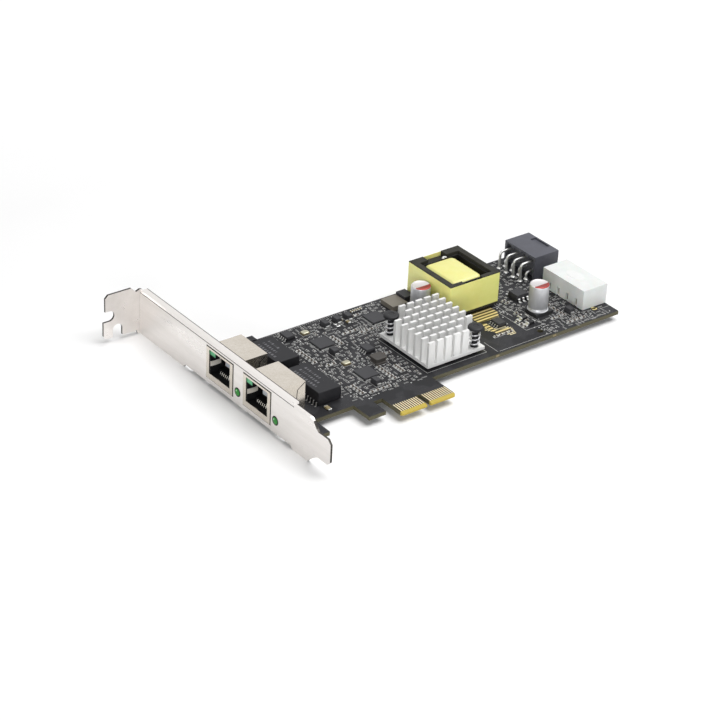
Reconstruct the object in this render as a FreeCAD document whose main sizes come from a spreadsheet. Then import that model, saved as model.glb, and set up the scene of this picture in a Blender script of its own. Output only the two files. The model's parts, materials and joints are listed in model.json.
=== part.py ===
"""Two-port network interface card with a low slot bracket, a pinned heat sink and two wire headers.

All sizes are in millimetres. X runs along the card away from the bracket, Y runs up the card from
its card edge, and Z points out of the component face. The origin is the middle of the key notch,
on the card's bottom edge, in the plane of the component face.
"""
import FreeCAD, Part
import os

import Sketcher

SIZES = {
    # Circuit board, measured from the key notch and the card's bottom edge.
    "board_thickness": 1.57,
    "board_left": 50.8,
    "board_right": 104.0,
    "board_front": 13.7,
    "board_back": 71.0,
    "ear_width": 9.8,
    "ear_bottom": 4.4,
    "hook_left": 23.6,
    "hook_width": 7.5,
    "hook_bottom": 4.5,
    "hook_gap_top": 12.0,
    "tongue_half_width": 12.15,
    "tongue_corner": 0.5,
    "bevel_height": 1.3,
    "bevel_depth": 0.4,
    "notch_width": 1.9,
    "notch_height": 7.0,
    "edge_hole_diameter": 2.4,
    "edge_hole_inset": 4.5,
    "edge_hole_from_right": 36.0,
    "ring_hole_diameter": 1.2,
    "ring_hole_inset": 6.5,
    "ring_hole_from_right": 6.8,
    # Card-edge contacts.
    "contact_pitch": 1.0,
    "contact_first": 1.5,
    "contact_width": 0.7,
    "contact_length": 5.1,
    "plating": 0.04,
    # Slot bracket.
    "bracket_sheet": 0.86,
    "bracket_gap": 3.41,
    "bracket_low": 3.94,
    "bracket_width": 18.42,
    "tab_plane": 105.3,
    "edge_step": 1.2,
    "edge_step_top": 74.9,
    "edge_step_bottom": 7.3,
    "edge_step_slope": 1.1,
    "shoulder_depth": 1.6,
    "shoulder_radius": 5.6,
    "foot_width": 10.19,
    "foot_low": 0.4,
    "foot_depth": 14.4,
    "foot_chamfer": 1.6,
    "flange_reach": 2.84,
    "flange_top": 103.5,
    "flange_bottom": 7.5,
    "flange_bend": 1.0,
    "port_width": 16.8,
    "port_from_edge": 2.18,
    "port_below_board": 0.9,
    "port_centre": 28.8,
    "port_pitch": 23.0,
    "light_diameter": 3.5,
    "light_height": 2.35,
    "light_from_port": 11.2,
    "light_proud": 0.3,
    "light_rim": 0.05,
    "tab_reach": 14.93,
    "tab_low": 2.3,
    "tab_high": 15.9,
    "tab_corner": 1.3,
    "tab_relief": 3.0,
    "tab_slot_width": 4.3,
    "tab_slot_centre": 6.9,
    "tab_slot_depth": 3.9,
    "tab_finger_step": 0.8,
    "arch_width": 4.1,
    "arch_top": 2.7,
    "arch_from_end": 5.25,
    "bend_radius": 0.8,
    "lug_width": 8.0,
    "lug_reach": 10.0,
    "screw_diameter": 3.0,
    "screw_clearance": 0.15,
    "screw_head_diameter": 5.6,
    "screw_crown_diameter": 3.92,
    "screw_head_height": 1.8,
    "screw_from_left": 4.8,
    "screw_below_lug": 0.7,
    # Network sockets.
    "socket_clearance": 0.2,
    "socket_proud": 0.23,
    "socket_depth": 15.1,
    "shield_wall": 0.3,
    "shield_gap": 0.05,
    "mouth_width": 13.0,
    "mouth_low": 1.5,
    "mouth_below_top": 0.8,
    "plug_width": 12.2,
    "plug_depth": 11.6,
    "latch_width": 6.0,
    "latch_height": 2.4,
    "window_height": 2.2,
    "window_length": 6.0,
    "window_inset": 0.5,
    "socket_wire_pitch": 1.02,
    "socket_wire_size": 0.4,
    "socket_wire_inset": 2.3,
    "socket_wire_rise": 2.9,
    "socket_wire_run": 6.4,
    "finger_width": 2.0,
    "finger_length": 4.5,
    "finger_height": 5.6,
    # Magnetics modules beside the sockets.
    "magnetics_from_socket": 5.4,
    "magnetics_depth": 10.3,
    "magnetics_top": 5.5,
    "magnetics_standoff": 0.3,
    "back_magnetics_length": 18.0,
    "back_magnetics_shift": 2.2,
    "front_magnetics_length": 20.6,
    "front_magnetics_shift": 1.3,
    "extra_block_width": 3.7,
    "extra_block_length": 3.2,
    "magnetics_lead_inset": 0.75,
    # Gull-wing leads of every leaded package.
    "lead_width": 0.42,
    "lead_sheet": 0.16,
    "lead_foot": 1.1,
    "lead_height": 0.9,
    # Controller and heat sink.
    "sink_centre_x": 26.7,
    "sink_centre_y": 32.1,
    "sink_width": 27.0,
    "sink_length": 28.8,
    "sink_base_low": 1.2,
    "sink_base_thickness": 1.2,
    "sink_top": 11.7,
    "sink_pin_length": 2.8,
    "sink_pin_width": 1.1,
    "sink_pin_inset": 0.1,
    "chip_width": 19.0,
    "chip_lid_width": 17.1,
    "pad_width": 15.2,
    "pad_thickness": 0.25,
    "push_pin_inset_x": 3.1,
    "push_pin_inset_y": 2.4,
    "push_pin_shaft": 2.4,
    "push_pin_hole": 3.1,
    "push_pin_head": 6.0,
    "push_pin_head_height": 1.3,
    "push_pin_top": 11.0,
    "push_pin_tail": 1.9,
    "push_pin_barb": 3.9,
    "spring_wire": 0.6,
    "spring_diameter": 4.0,
    "spring_pitch": 1.85,
    # Power transformer.
    "transformer_from_back": 3.1,
    "transformer_width": 24.4,
    "transformer_length": 25.8,
    "transformer_left": 42.8,
    "transformer_top": 14.8,
    "transformer_standoff": 1.0,
    "core_wall": 2.5,
    "core_front_wall": 1.9,
    "core_back_wall": 3.5,
    "core_floor": 1.6,
    "core_notch_width": 9.0,
    "core_notch_depth": 2.0,
    "core_notch_shift": 0.8,
    "bobbin_gap": 0.1,
    "bobbin_wall": 0.7,
    "bobbin_drop": 1.2,
    "winding_drop": 0.2,
    "winding_side_gap": 2.6,
    "winding_rounding": 2.2,
    "tape_thickness": 0.15,
    "tape_low": 2.2,
    "tape_from_top": 0.3,
    "transformer_pin_diameter": 1.0,
    "transformer_pin_pitch": 5.0,
    # Can capacitors.
    "can_diameter": 8.0,
    "can_top": 12.2,
    "can_base_height": 1.3,
    "can_base_width": 8.3,
    "can_base_corner": 1.6,
    "back_can_x": 38.2,
    "back_can_from_back": 17.0,
    "front_can_x": 77.2,
    "front_can_y": 30.4,
    # Eight-way header at the card's right end.
    "power_pitch": 4.2,
    "power_depth": 12.2,
    "header_overhang": 0.4,
    "power_length": 18.0,
    "power_from_back": 2.8,
    "power_top": 9.9,
    "power_cell": 3.4,
    "power_cell_depth": 8.4,
    "power_row_low": 2.9,
    "power_pin_size": 0.9,
    "power_pin_reach": 5.2,
    "power_tail_reach": 4.6,
    "power_latch_width": 8.6,
    "power_latch_length": 2.8,
    "power_latch_from_face": 0.6,
    "power_latch_drop": 0.7,
    "power_rear_wall": 0.9,
    "power_rear_depth": 2.0,
    "power_rear_low_top": 8.4,
    "power_rear_high_top": 9.2,
    "power_rear_bay": 2.6,
    # Four-way header at the card's right end.
    "signal_pitch": 5.08,
    "signal_depth": 12.1,
    "signal_length": 23.6,
    "signal_front": 21.5,
    "signal_top": 8.2,
    "signal_wall": 1.2,
    "signal_cavity_depth": 9.6,
    "signal_pin_diameter": 2.0,
    "signal_pin_recess": 5.1,
    "signal_pin_height": 2.7,
    "signal_tail_reach": 1.6,
    "signal_tail_width": 1.4,
    "sticker_thickness": 0.08,
    "sticker_length": 9.0,
    "sticker_width": 5.0,
    # Packages and small parts.
    "package_height": 1.55,
    "package_standoff": 0.1,
    "small_package_width": 3.9,
    "small_package_length": 4.9,
    "small_package_pitch": 1.27,
    "flat_package_height": 0.9,
    "flat_package_width": 7.0,
    "coil_width": 5.4,
    "coil_length": 4.6,
    "coil_height": 2.6,
    "crystal_width": 3.2,
    "crystal_length": 2.5,
    "crystal_height": 0.9,
    "diode_width": 2.6,
    "diode_length": 4.2,
    "diode_height": 2.1,
    "block_length": 7.6,
    "block_width": 7.2,
    "block_height": 1.9,
    "tall_block_height": 3.0,
    "tall_block_width": 4.2,
    "tall_block_length": 5.6,
    "bridge_width": 5.8,
    "bridge_length": 5.4,
    "bridge_height": 2.6,
    "bridge_lead_width": 0.8,
    "bridge_lead_pitch": 2.1,
    "bridge_lead_height": 1.3,
    "bridge_lead_foot": 1.9,
    "chip_part_length": 1.6,
    "chip_part_width": 0.8,
    "chip_part_height": 0.6,
    "chip_part_cap": 0.35,
    "gold_area_thickness": 0.05,
}

CONTACTS_EACH_SIDE = 11
SOCKET_WIRES = 8
MAGNETICS_LEADS_EACH_SIDE = 12
SINK_COLUMNS = 7
SINK_ROWS = 8
TRANSFORMER_PINS_EACH_SIDE = 5

SHEET = "Sizes"
NEAR = 0.01
document = FreeCAD.newDocument("network_card")
sheet = document.addObject("Spreadsheet::Sheet", SHEET)
for row, (alias, length) in enumerate(SIZES.items(), start=1):
    sheet.set(f"A{row}", alias)
    sheet.set(f"B{row}", str(length))
    sheet.setAlias(f"B{row}", alias)
document.recompute()


class Size:
    """A length that holds its value and the sheet expression that gives it."""

    def __init__(self, text, value):
        self.text = text
        self.value = value

    def __add__(self, other):
        other = as_size(other)
        return Size(f"({self.text} + {other.text})", self.value + other.value)

    def __sub__(self, other):
        other = as_size(other)
        return Size(f"({self.text} - {other.text})", self.value - other.value)

    def __mul__(self, factor):
        factor = as_size(factor)
        return Size(f"({self.text} * {factor.text})", self.value * factor.value)

    def __truediv__(self, divisor):
        return Size(f"({self.text} / {divisor})", self.value / divisor)

    def __neg__(self):
        return Size(f"(-{self.text})", -self.value)

    def __radd__(self, other):
        return as_size(other) + self

    def __rsub__(self, other):
        return as_size(other) - self

    __rmul__ = __mul__


def as_size(number):
    """The number as a Size, so that bare zeros and counts mix with tied lengths."""
    return number if isinstance(number, Size) else Size(f"({number})", number)


class Sheet:
    """The sheet's cells as attributes, each a Size tied to its cell."""

    def __getattr__(self, name):
        return Size(f"{SHEET}.{name}", SIZES[name])


size = Sheet()
ZERO = as_size(0)


def tie(item, **properties):
    """Bind properties to sizes; a double underscore stands for a dot in a property's path."""
    for name, value in properties.items():
        item.setExpression(name.replace("__", "."), as_size(value).text)
    return item


def box(name, low, high):
    """A box between two corners, each three sizes."""
    low = [as_size(value) for value in low]
    high = [as_size(value) for value in high]
    item = document.addObject("Part::Box", name)
    tie(item, Length=high[0] - low[0], Width=high[1] - low[1], Height=high[2] - low[2])
    place(item, low)
    return item


def cylinder(name, centre, radius, low, high):
    """An upright cylinder about a centre in X and Y, between two heights."""
    item = document.addObject("Part::Cylinder", name)
    tie(item, Radius=radius, Height=as_size(high) - low)
    place(item, (centre[0], centre[1], low))
    return item


def lying_cylinder(name, centre, radius, low, high):
    """A cylinder along X about a centre in Y and Z, between two X positions."""
    item = document.addObject("Part::Cylinder", name)
    item.Placement.Rotation = FreeCAD.Rotation(FreeCAD.Vector(0, 1, 0), 90)
    tie(item, Radius=radius, Height=as_size(high) - low)
    place(item, (low, centre[0], centre[1]))
    return item


def cone(name, centre, low_radius, high_radius, low, high):
    """An upright cone frustum about a centre in X and Y, between two heights."""
    item = document.addObject("Part::Cone", name)
    tie(item, Radius1=low_radius, Radius2=high_radius, Height=as_size(high) - low)
    place(item, (centre[0], centre[1], low))
    return item


def place(item, position):
    """Tie an item's base point to three sizes."""
    tie(
        item,
        Placement__Base__x=position[0],
        Placement__Base__y=position[1],
        Placement__Base__z=position[2],
    )


def cut(name, base, tools):
    """The base less every tool."""
    item = document.addObject("Part::Cut", name)
    item.Base = base
    item.Tool = tools[0] if len(tools) == 1 else fuse(name + "_tools", tools)
    return item


def fuse(name, pieces):
    """Pieces joined to one solid."""
    item = document.addObject("Part::MultiFuse", name)
    item.Shapes = pieces
    item.Refine = True
    return item


def group(name, pieces):
    """Separate solids kept side by side as one sub-part."""
    item = document.addObject("Part::Compound", name)
    item.Links = pieces
    return item


def origin_plane(body, role):
    """The body's own origin plane with this role."""
    for feature in body.Origin.OriginFeatures:
        if feature.Role == role:
            return feature
    raise ValueError(role)


def new_sketch(body, name, role, start):
    """A sketch on an origin plane of the body, moved along +X, +Y or +Z to the start."""
    sketch = body.newObject("Sketcher::SketchObject", name)
    sketch.AttachmentSupport = [(origin_plane(body, role), "")]
    sketch.MapMode = "FlatFace"
    start = as_size(start)
    tie(sketch, AttachmentOffset__Base__z=-start if role == "XZ_Plane" else start)
    return sketch


def polygon(sketch, corners):
    """A closed polygon whose every corner is tied by its distances from the sketch's origin."""
    corners = [(as_size(across), as_size(up)) for across, up in corners]
    first = sketch.GeometryCount
    points = [FreeCAD.Vector(across.value, up.value, 0) for across, up in corners]
    for start, end in zip(points, points[1:] + points[:1]):
        sketch.addGeometry(Part.LineSegment(start, end), False)
    for index, (across, up) in enumerate(corners):
        line = first + index
        following = first + (index + 1) % len(corners)
        sketch.addConstraint(Sketcher.Constraint("Coincident", line, 2, following, 1))
        for kind, value in (("DistanceX", across), ("DistanceY", up)):
            number = sketch.addConstraint(Sketcher.Constraint(kind, -1, 1, line, 1, value.value))
            sketch.setExpression(f"Constraints[{number}]", value.text)


def rectangle(sketch, low, high):
    """A rectangle between two corners."""
    polygon(sketch, [low, (high[0], low[1]), high, (low[0], high[1])])


def circle(sketch, centre, diameter):
    """A circle tied to its centre and diameter."""
    across, up = as_size(centre[0]), as_size(centre[1])
    middle = FreeCAD.Vector(across.value, up.value, 0)
    upright = FreeCAD.Vector(0, 0, 1)
    line = sketch.addGeometry(Part.Circle(middle, upright, diameter.value / 2), False)
    for kind, value in (("DistanceX", across), ("DistanceY", up)):
        number = sketch.addConstraint(Sketcher.Constraint(kind, -1, 1, line, 3, value.value))
        sketch.setExpression(f"Constraints[{number}]", value.text)
    number = sketch.addConstraint(Sketcher.Constraint("Diameter", line, diameter.value))
    sketch.setExpression(f"Constraints[{number}]", diameter.text)


def pad(body, sketch, length):
    """Material from the sketch's plane along +X, +Y or +Z."""
    feature = body.newObject("PartDesign::Pad", sketch.Name + "_pad")
    feature.Profile = sketch
    tie(feature, Length=length)
    feature.Reversed = "XZ_Plane" in sketch.AttachmentSupport[0][0].Role
    sketch.Visibility = False
    return feature


def pocket(body, sketch, length):
    """A cut from the sketch's plane along +X, +Y or +Z; it has to take something away."""
    before = body.Shape.Volume
    feature = body.newObject("PartDesign::Pocket", sketch.Name + "_pocket")
    feature.Profile = sketch
    tie(feature, Length=length)
    feature.Reversed = "XZ_Plane" not in sketch.AttachmentSupport[0][0].Role
    document.recompute()
    if body.Shape.Volume >= before:
        raise ValueError(f"{feature.Name} cuts nothing")
    return feature


def prism(name, role, corners, start, length):
    """A body of one padded polygon."""
    body = document.addObject("PartDesign::Body", name)
    sketch = new_sketch(body, name + "_outline", role, start)
    polygon(sketch, corners)
    pad(body, sketch, length)
    return body


def round_edges(body, name, radius, chosen):
    """Round those edges of the body's last feature that the function picks."""
    document.recompute()
    base = body.Tip
    edges = [f"Edge{number}" for number, edge in enumerate(base.Shape.Edges, start=1) if chosen(edge)]
    fillet = body.newObject("PartDesign::Fillet", name)
    fillet.Base = (base, edges)
    tie(fillet, Radius=radius)


SUB_PARTS = []


def keep(name, item):
    """Label the item as a finished sub-part; the label names its file."""
    item.Label = name
    SUB_PARTS.append(item)
    return item


# Planes and edges that several sub-parts share.
BOARD_LEFT = -size.board_left
BOARD_UNDER = -size.board_thickness
FACE_INNER = BOARD_LEFT - size.bracket_gap
FACE_OUTER = FACE_INNER - size.bracket_sheet
BRACKET_UPPER = size.bracket_width - size.bracket_low
PORT_TOP = BRACKET_UPPER - size.port_from_edge
SOCKET_TOP = PORT_TOP - size.socket_clearance
LUG_UNDER = BOARD_UNDER - size.bracket_sheet
PORT_CENTRES = (size.port_centre + size.port_pitch, size.port_centre)
SCREW_X = BOARD_LEFT + size.screw_from_left
EAR_CENTRE = (size.ear_bottom + size.board_front) / 2
SCREW_YS = (EAR_CENTRE, size.board_back - size.screw_from_left)
SINK_BASE_TOP = size.sink_base_low + size.sink_base_thickness
PUSH_PIN_OFFSET_X = size.sink_width / 2 - size.push_pin_inset_x
PUSH_PIN_OFFSET_Y = size.sink_length / 2 - size.push_pin_inset_y
PUSH_PINS = (
    (size.sink_centre_x - PUSH_PIN_OFFSET_X, size.sink_centre_y + PUSH_PIN_OFFSET_Y),
    (size.sink_centre_x + PUSH_PIN_OFFSET_X, size.sink_centre_y - PUSH_PIN_OFFSET_Y),
)


def circuit_board():
    """The board: one outline with ear, hook tab and tongue, a key notch, holes and a bevel."""
    body = document.addObject("PartDesign::Body", "board_body")
    ear_right = BOARD_LEFT + size.ear_width
    hook_left = -size.hook_left
    hook_right = hook_left + size.hook_width
    half = size.tongue_half_width
    outline = new_sketch(body, "board_outline", "XY_Plane", BOARD_UNDER)
    polygon(outline, [
        (BOARD_LEFT, size.ear_bottom),
        (ear_right, size.ear_bottom),
        (ear_right, size.board_front),
        (hook_left, size.board_front),
        (hook_left, size.hook_bottom),
        (hook_right, size.hook_bottom),
        (hook_right, size.hook_gap_top),
        (-half, size.hook_gap_top),
        (-half, size.tongue_corner),
        (size.tongue_corner - half, 0),
        (half - size.tongue_corner, 0),
        (half, size.tongue_corner),
        (half, size.board_front),
        (size.board_right, size.board_front),
        (size.board_right, size.board_back),
        (BOARD_LEFT, size.board_back),
    ])
    pad(body, outline, size.board_thickness)
    document.recompute()

    notch_end = size.notch_height - size.notch_width / 2
    notch = new_sketch(body, "board_notch", "XY_Plane", BOARD_UNDER)
    half_notch = size.notch_width / 2
    rectangle(notch, (-half_notch, -size.notch_width), (half_notch, notch_end))
    pocket(body, notch, size.board_thickness)
    rounds = new_sketch(body, "board_holes", "XY_Plane", BOARD_UNDER)
    circle(rounds, (0, notch_end), size.notch_width)
    for y in SCREW_YS:
        circle(rounds, (SCREW_X, y), size.screw_diameter + 2 * size.screw_clearance)
    for x, y in PUSH_PINS:
        circle(rounds, (x, y), size.push_pin_hole)
    circle(rounds, (
        size.board_right - size.edge_hole_from_right,
        size.board_front + size.edge_hole_inset,
    ), size.edge_hole_diameter)
    circle(rounds, (
        size.board_right - size.ring_hole_from_right,
        size.board_front + size.ring_hole_inset,
    ), size.ring_hole_diameter)
    pocket(body, rounds, size.board_thickness)
    for face, inward, name in ((ZERO, -1, "bevel_front"), (BOARD_UNDER, 1, "bevel_rear")):
        wedge = new_sketch(body, name, "YZ_Plane", -half)
        polygon(wedge, [
            (0, face),
            (size.bevel_height, face),
            (0, face + inward * size.bevel_depth),
        ])
        pocket(body, wedge, 2 * half)
    keep("circuit_board", body)


def edge_contacts():
    """Plated contacts on both faces of the tongue, on either side of the key notch."""
    pieces = []
    for side in (-1, 1):
        for index in range(CONTACTS_EACH_SIDE):
            middle = side * (size.contact_first + index * size.contact_pitch)
            low = middle - size.contact_width / 2
            high = middle + size.contact_width / 2
            top = size.bevel_height + size.contact_length
            for number, (under, over) in enumerate((
                (ZERO, size.plating),
                (BOARD_UNDER - size.plating, BOARD_UNDER),
            )):
                name = f"contact_{'left' if side < 0 else 'right'}_{index}_{number}"
                pieces.append(box(name, (low, size.bevel_height, under), (high, top, over)))
    keep("edge_contacts", group("edge_contact_group", pieces))


def bracket_plate(body):
    """The bracket's flat plate with its stepped edge, shoulders and foot."""
    low = -size.bracket_low
    stepped = low + size.edge_step
    shoulder = -size.shoulder_depth
    foot_high = size.foot_low + size.foot_width
    round_low = size.foot_low - low
    round_high = BRACKET_UPPER - foot_high
    outline = new_sketch(body, "plate_outline", "YZ_Plane", FACE_OUTER)
    polygon(outline, [
        (size.tab_plane, low),
        (size.edge_step_top, low),
        (size.edge_step_top - size.edge_step_slope, stepped),
        (size.edge_step_bottom + size.edge_step_slope, stepped),
        (size.edge_step_bottom, low),
        (shoulder, low),
        (shoulder - 0.28 * size.shoulder_radius, low + 0.33 * round_low),
        (shoulder - 0.6 * size.shoulder_radius, low + 0.68 * round_low),
        (shoulder - size.shoulder_radius, size.foot_low),
        (size.foot_chamfer - size.foot_depth, size.foot_low),
        (-size.foot_depth, size.foot_low + size.foot_chamfer),
        (-size.foot_depth, foot_high - size.foot_chamfer),
        (size.foot_chamfer - size.foot_depth, foot_high),
        (shoulder - size.shoulder_radius, foot_high),
        (shoulder - 0.82 * size.shoulder_radius, foot_high + 0.2 * round_high),
        (shoulder - 0.43 * size.shoulder_radius, BRACKET_UPPER - 0.15 * round_high),
        (shoulder - 0.2 * size.shoulder_radius, BRACKET_UPPER),
        (size.flange_bottom, BRACKET_UPPER),
        (size.flange_bottom, BRACKET_UPPER - size.flange_bend),
        (size.flange_top, BRACKET_UPPER - size.flange_bend),
        (size.flange_top, BRACKET_UPPER),
        (size.tab_plane, BRACKET_UPPER),
    ])
    pad(body, outline, size.bracket_sheet)


def bracket_flange(body):
    """The stiffening flange: the plate's upper edge bent inwards through a rounded corner."""
    under = BRACKET_UPPER - size.flange_bend
    chord = 0.293 * size.flange_bend
    end = FACE_OUTER + size.flange_reach
    profile = new_sketch(body, "flange_profile", "XZ_Plane", size.flange_bottom)
    polygon(profile, [
        (FACE_OUTER, under),
        (FACE_OUTER + chord, BRACKET_UPPER - chord),
        (FACE_OUTER + size.flange_bend, BRACKET_UPPER),
        (end, BRACKET_UPPER),
        (end, BRACKET_UPPER - size.bracket_sheet),
        (FACE_INNER + 0.2 * size.flange_bend, BRACKET_UPPER - size.bracket_sheet),
        (FACE_INNER, under),
    ])
    pad(body, profile, size.flange_top - size.flange_bottom)


def bracket_tab(body):
    """The bent tab with its open screw slot, finger and arch notch."""
    end = FACE_OUTER - size.tab_reach
    finger_end = end - size.tab_finger_step
    slot_low = size.tab_slot_centre - size.tab_slot_width / 2
    slot_high = size.tab_slot_centre + size.tab_slot_width / 2
    slot_round = end + size.tab_slot_depth - size.tab_slot_width / 2
    arch_centre = end + size.arch_from_end
    arch_left = arch_centre - size.arch_width / 2
    arch_right = arch_centre + size.arch_width / 2
    arch_round = size.arch_top - size.arch_width / 2
    relief_end = FACE_OUTER - size.tab_relief / 2
    outline = new_sketch(body, "tab_outline", "XZ_Plane", size.tab_plane - size.bracket_sheet)
    polygon(outline, [
        (FACE_INNER, BRACKET_UPPER),
        (FACE_OUTER, BRACKET_UPPER),
        (relief_end, BRACKET_UPPER - size.tab_corner / 2),
        (FACE_OUTER - size.tab_relief - size.tab_corner / 2, size.tab_high),
        (end + size.tab_corner, size.tab_high),
        (end, size.tab_high - size.tab_corner),
        (end, slot_high),
        (slot_round, slot_high),
        (slot_round, slot_low),
        (finger_end, slot_low),
        (finger_end, size.tab_corner - size.tab_low),
        (finger_end + size.tab_corner, -size.tab_low),
        (arch_left, -size.tab_low),
        (arch_left, arch_round),
        (arch_right, arch_round),
        (arch_right, -size.tab_low),
        (relief_end - size.tab_relief, -size.tab_low - size.tab_corner / 3),
        (relief_end - size.tab_corner / 2, -size.tab_low - size.tab_corner / 2),
        (relief_end, -size.tab_low),
        (relief_end + size.tab_corner / 2, -size.bracket_low),
        (FACE_INNER, -size.bracket_low),
    ])
    pad(body, outline, size.bracket_sheet)
    document.recompute()
    rounds = new_sketch(body, "tab_rounds", "XZ_Plane", size.tab_plane - size.bracket_sheet)
    circle(rounds, (slot_round, size.tab_slot_centre), size.tab_slot_width)
    circle(rounds, (arch_centre, arch_round), size.arch_width)
    pocket(body, rounds, size.bracket_sheet)


def at_tab_bend(edge):
    """Whether an edge lies along the outer corner where the tab bends away from the plate."""
    return all(
        abs(vertex.X - FACE_INNER.value) < NEAR and abs(vertex.Y - SIZES["tab_plane"]) < NEAR
        for vertex in edge.Vertexes
    )


def slot_bracket():
    """The bracket: plate, flange, tab, two lugs under the board, cut-outs and light holes."""
    body = document.addObject("PartDesign::Body", "bracket_body")
    bracket_plate(body)
    bracket_flange(body)
    bracket_tab(body)
    half_lug = size.lug_width / 2
    lugs = new_sketch(body, "bracket_lugs", "XY_Plane", LUG_UNDER)
    for y in SCREW_YS:
        rectangle(lugs, (FACE_INNER, y - half_lug), (FACE_INNER + size.lug_reach, y + half_lug))
    pad(body, lugs, size.bracket_sheet)
    document.recompute()

    half_port = size.port_width / 2
    port_low = -size.port_below_board
    ports = new_sketch(body, "port_cutouts", "YZ_Plane", FACE_OUTER)
    for centre in PORT_CENTRES:
        rectangle(ports, (centre - half_port, port_low), (centre + half_port, PORT_TOP))
    pocket(body, ports, size.bracket_sheet)
    lights = new_sketch(body, "light_holes", "YZ_Plane", FACE_OUTER)
    for centre in PORT_CENTRES:
        circle(lights, (centre - size.light_from_port, size.light_height), size.light_diameter)
    pocket(body, lights, size.bracket_sheet)
    threads = new_sketch(body, "lug_threads", "XY_Plane", LUG_UNDER)
    for y in SCREW_YS:
        circle(threads, (SCREW_X, y), size.screw_diameter)
    pocket(body, threads, size.bracket_sheet)
    round_edges(body, "tab_bend", size.bend_radius, at_tab_bend)
    keep("slot_bracket", body)


def bracket_screws():
    """Two pan-head screws that clamp the board to the bracket's lugs."""
    pieces = []
    for index, y in enumerate(SCREW_YS):
        centre = (SCREW_X, y)
        tip = LUG_UNDER - size.screw_below_lug
        shank = cylinder(f"screw_shank_{index}", centre, size.screw_diameter / 2, tip, 0)
        head_radius = size.screw_head_diameter / 2
        crown_radius = size.screw_crown_diameter / 2
        head = cone(f"screw_head_{index}", centre, head_radius, crown_radius, 0, size.screw_head_height)
        whole = fuse(f"screw_whole_{index}", [shank, head])
        slot_half = size.screw_clearance
        recess = box(
            f"screw_recess_{index}",
            (SCREW_X - 0.6 * head_radius, y - slot_half, size.screw_head_height / 2),
            (SCREW_X + 0.6 * head_radius, y + slot_half, 2 * size.screw_head_height),
        )
        pieces.append(cut(f"screw_{index}", whole, [recess]))
    keep("bracket_screws", group("bracket_screw_group", pieces))


def port_lights():
    """Two round indicator lights that stand in the bracket's light holes."""
    pieces = []
    radius = size.light_diameter / 2 - size.light_rim
    for index, centre in enumerate(PORT_CENTRES):
        pieces.append(lying_cylinder(
            f"light_{index}",
            (centre - size.light_from_port, size.light_height),
            radius,
            FACE_OUTER - size.light_proud,
            BOARD_LEFT + size.light_diameter,
        ))
    keep("port_lights", group("port_light_group", pieces))


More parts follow.
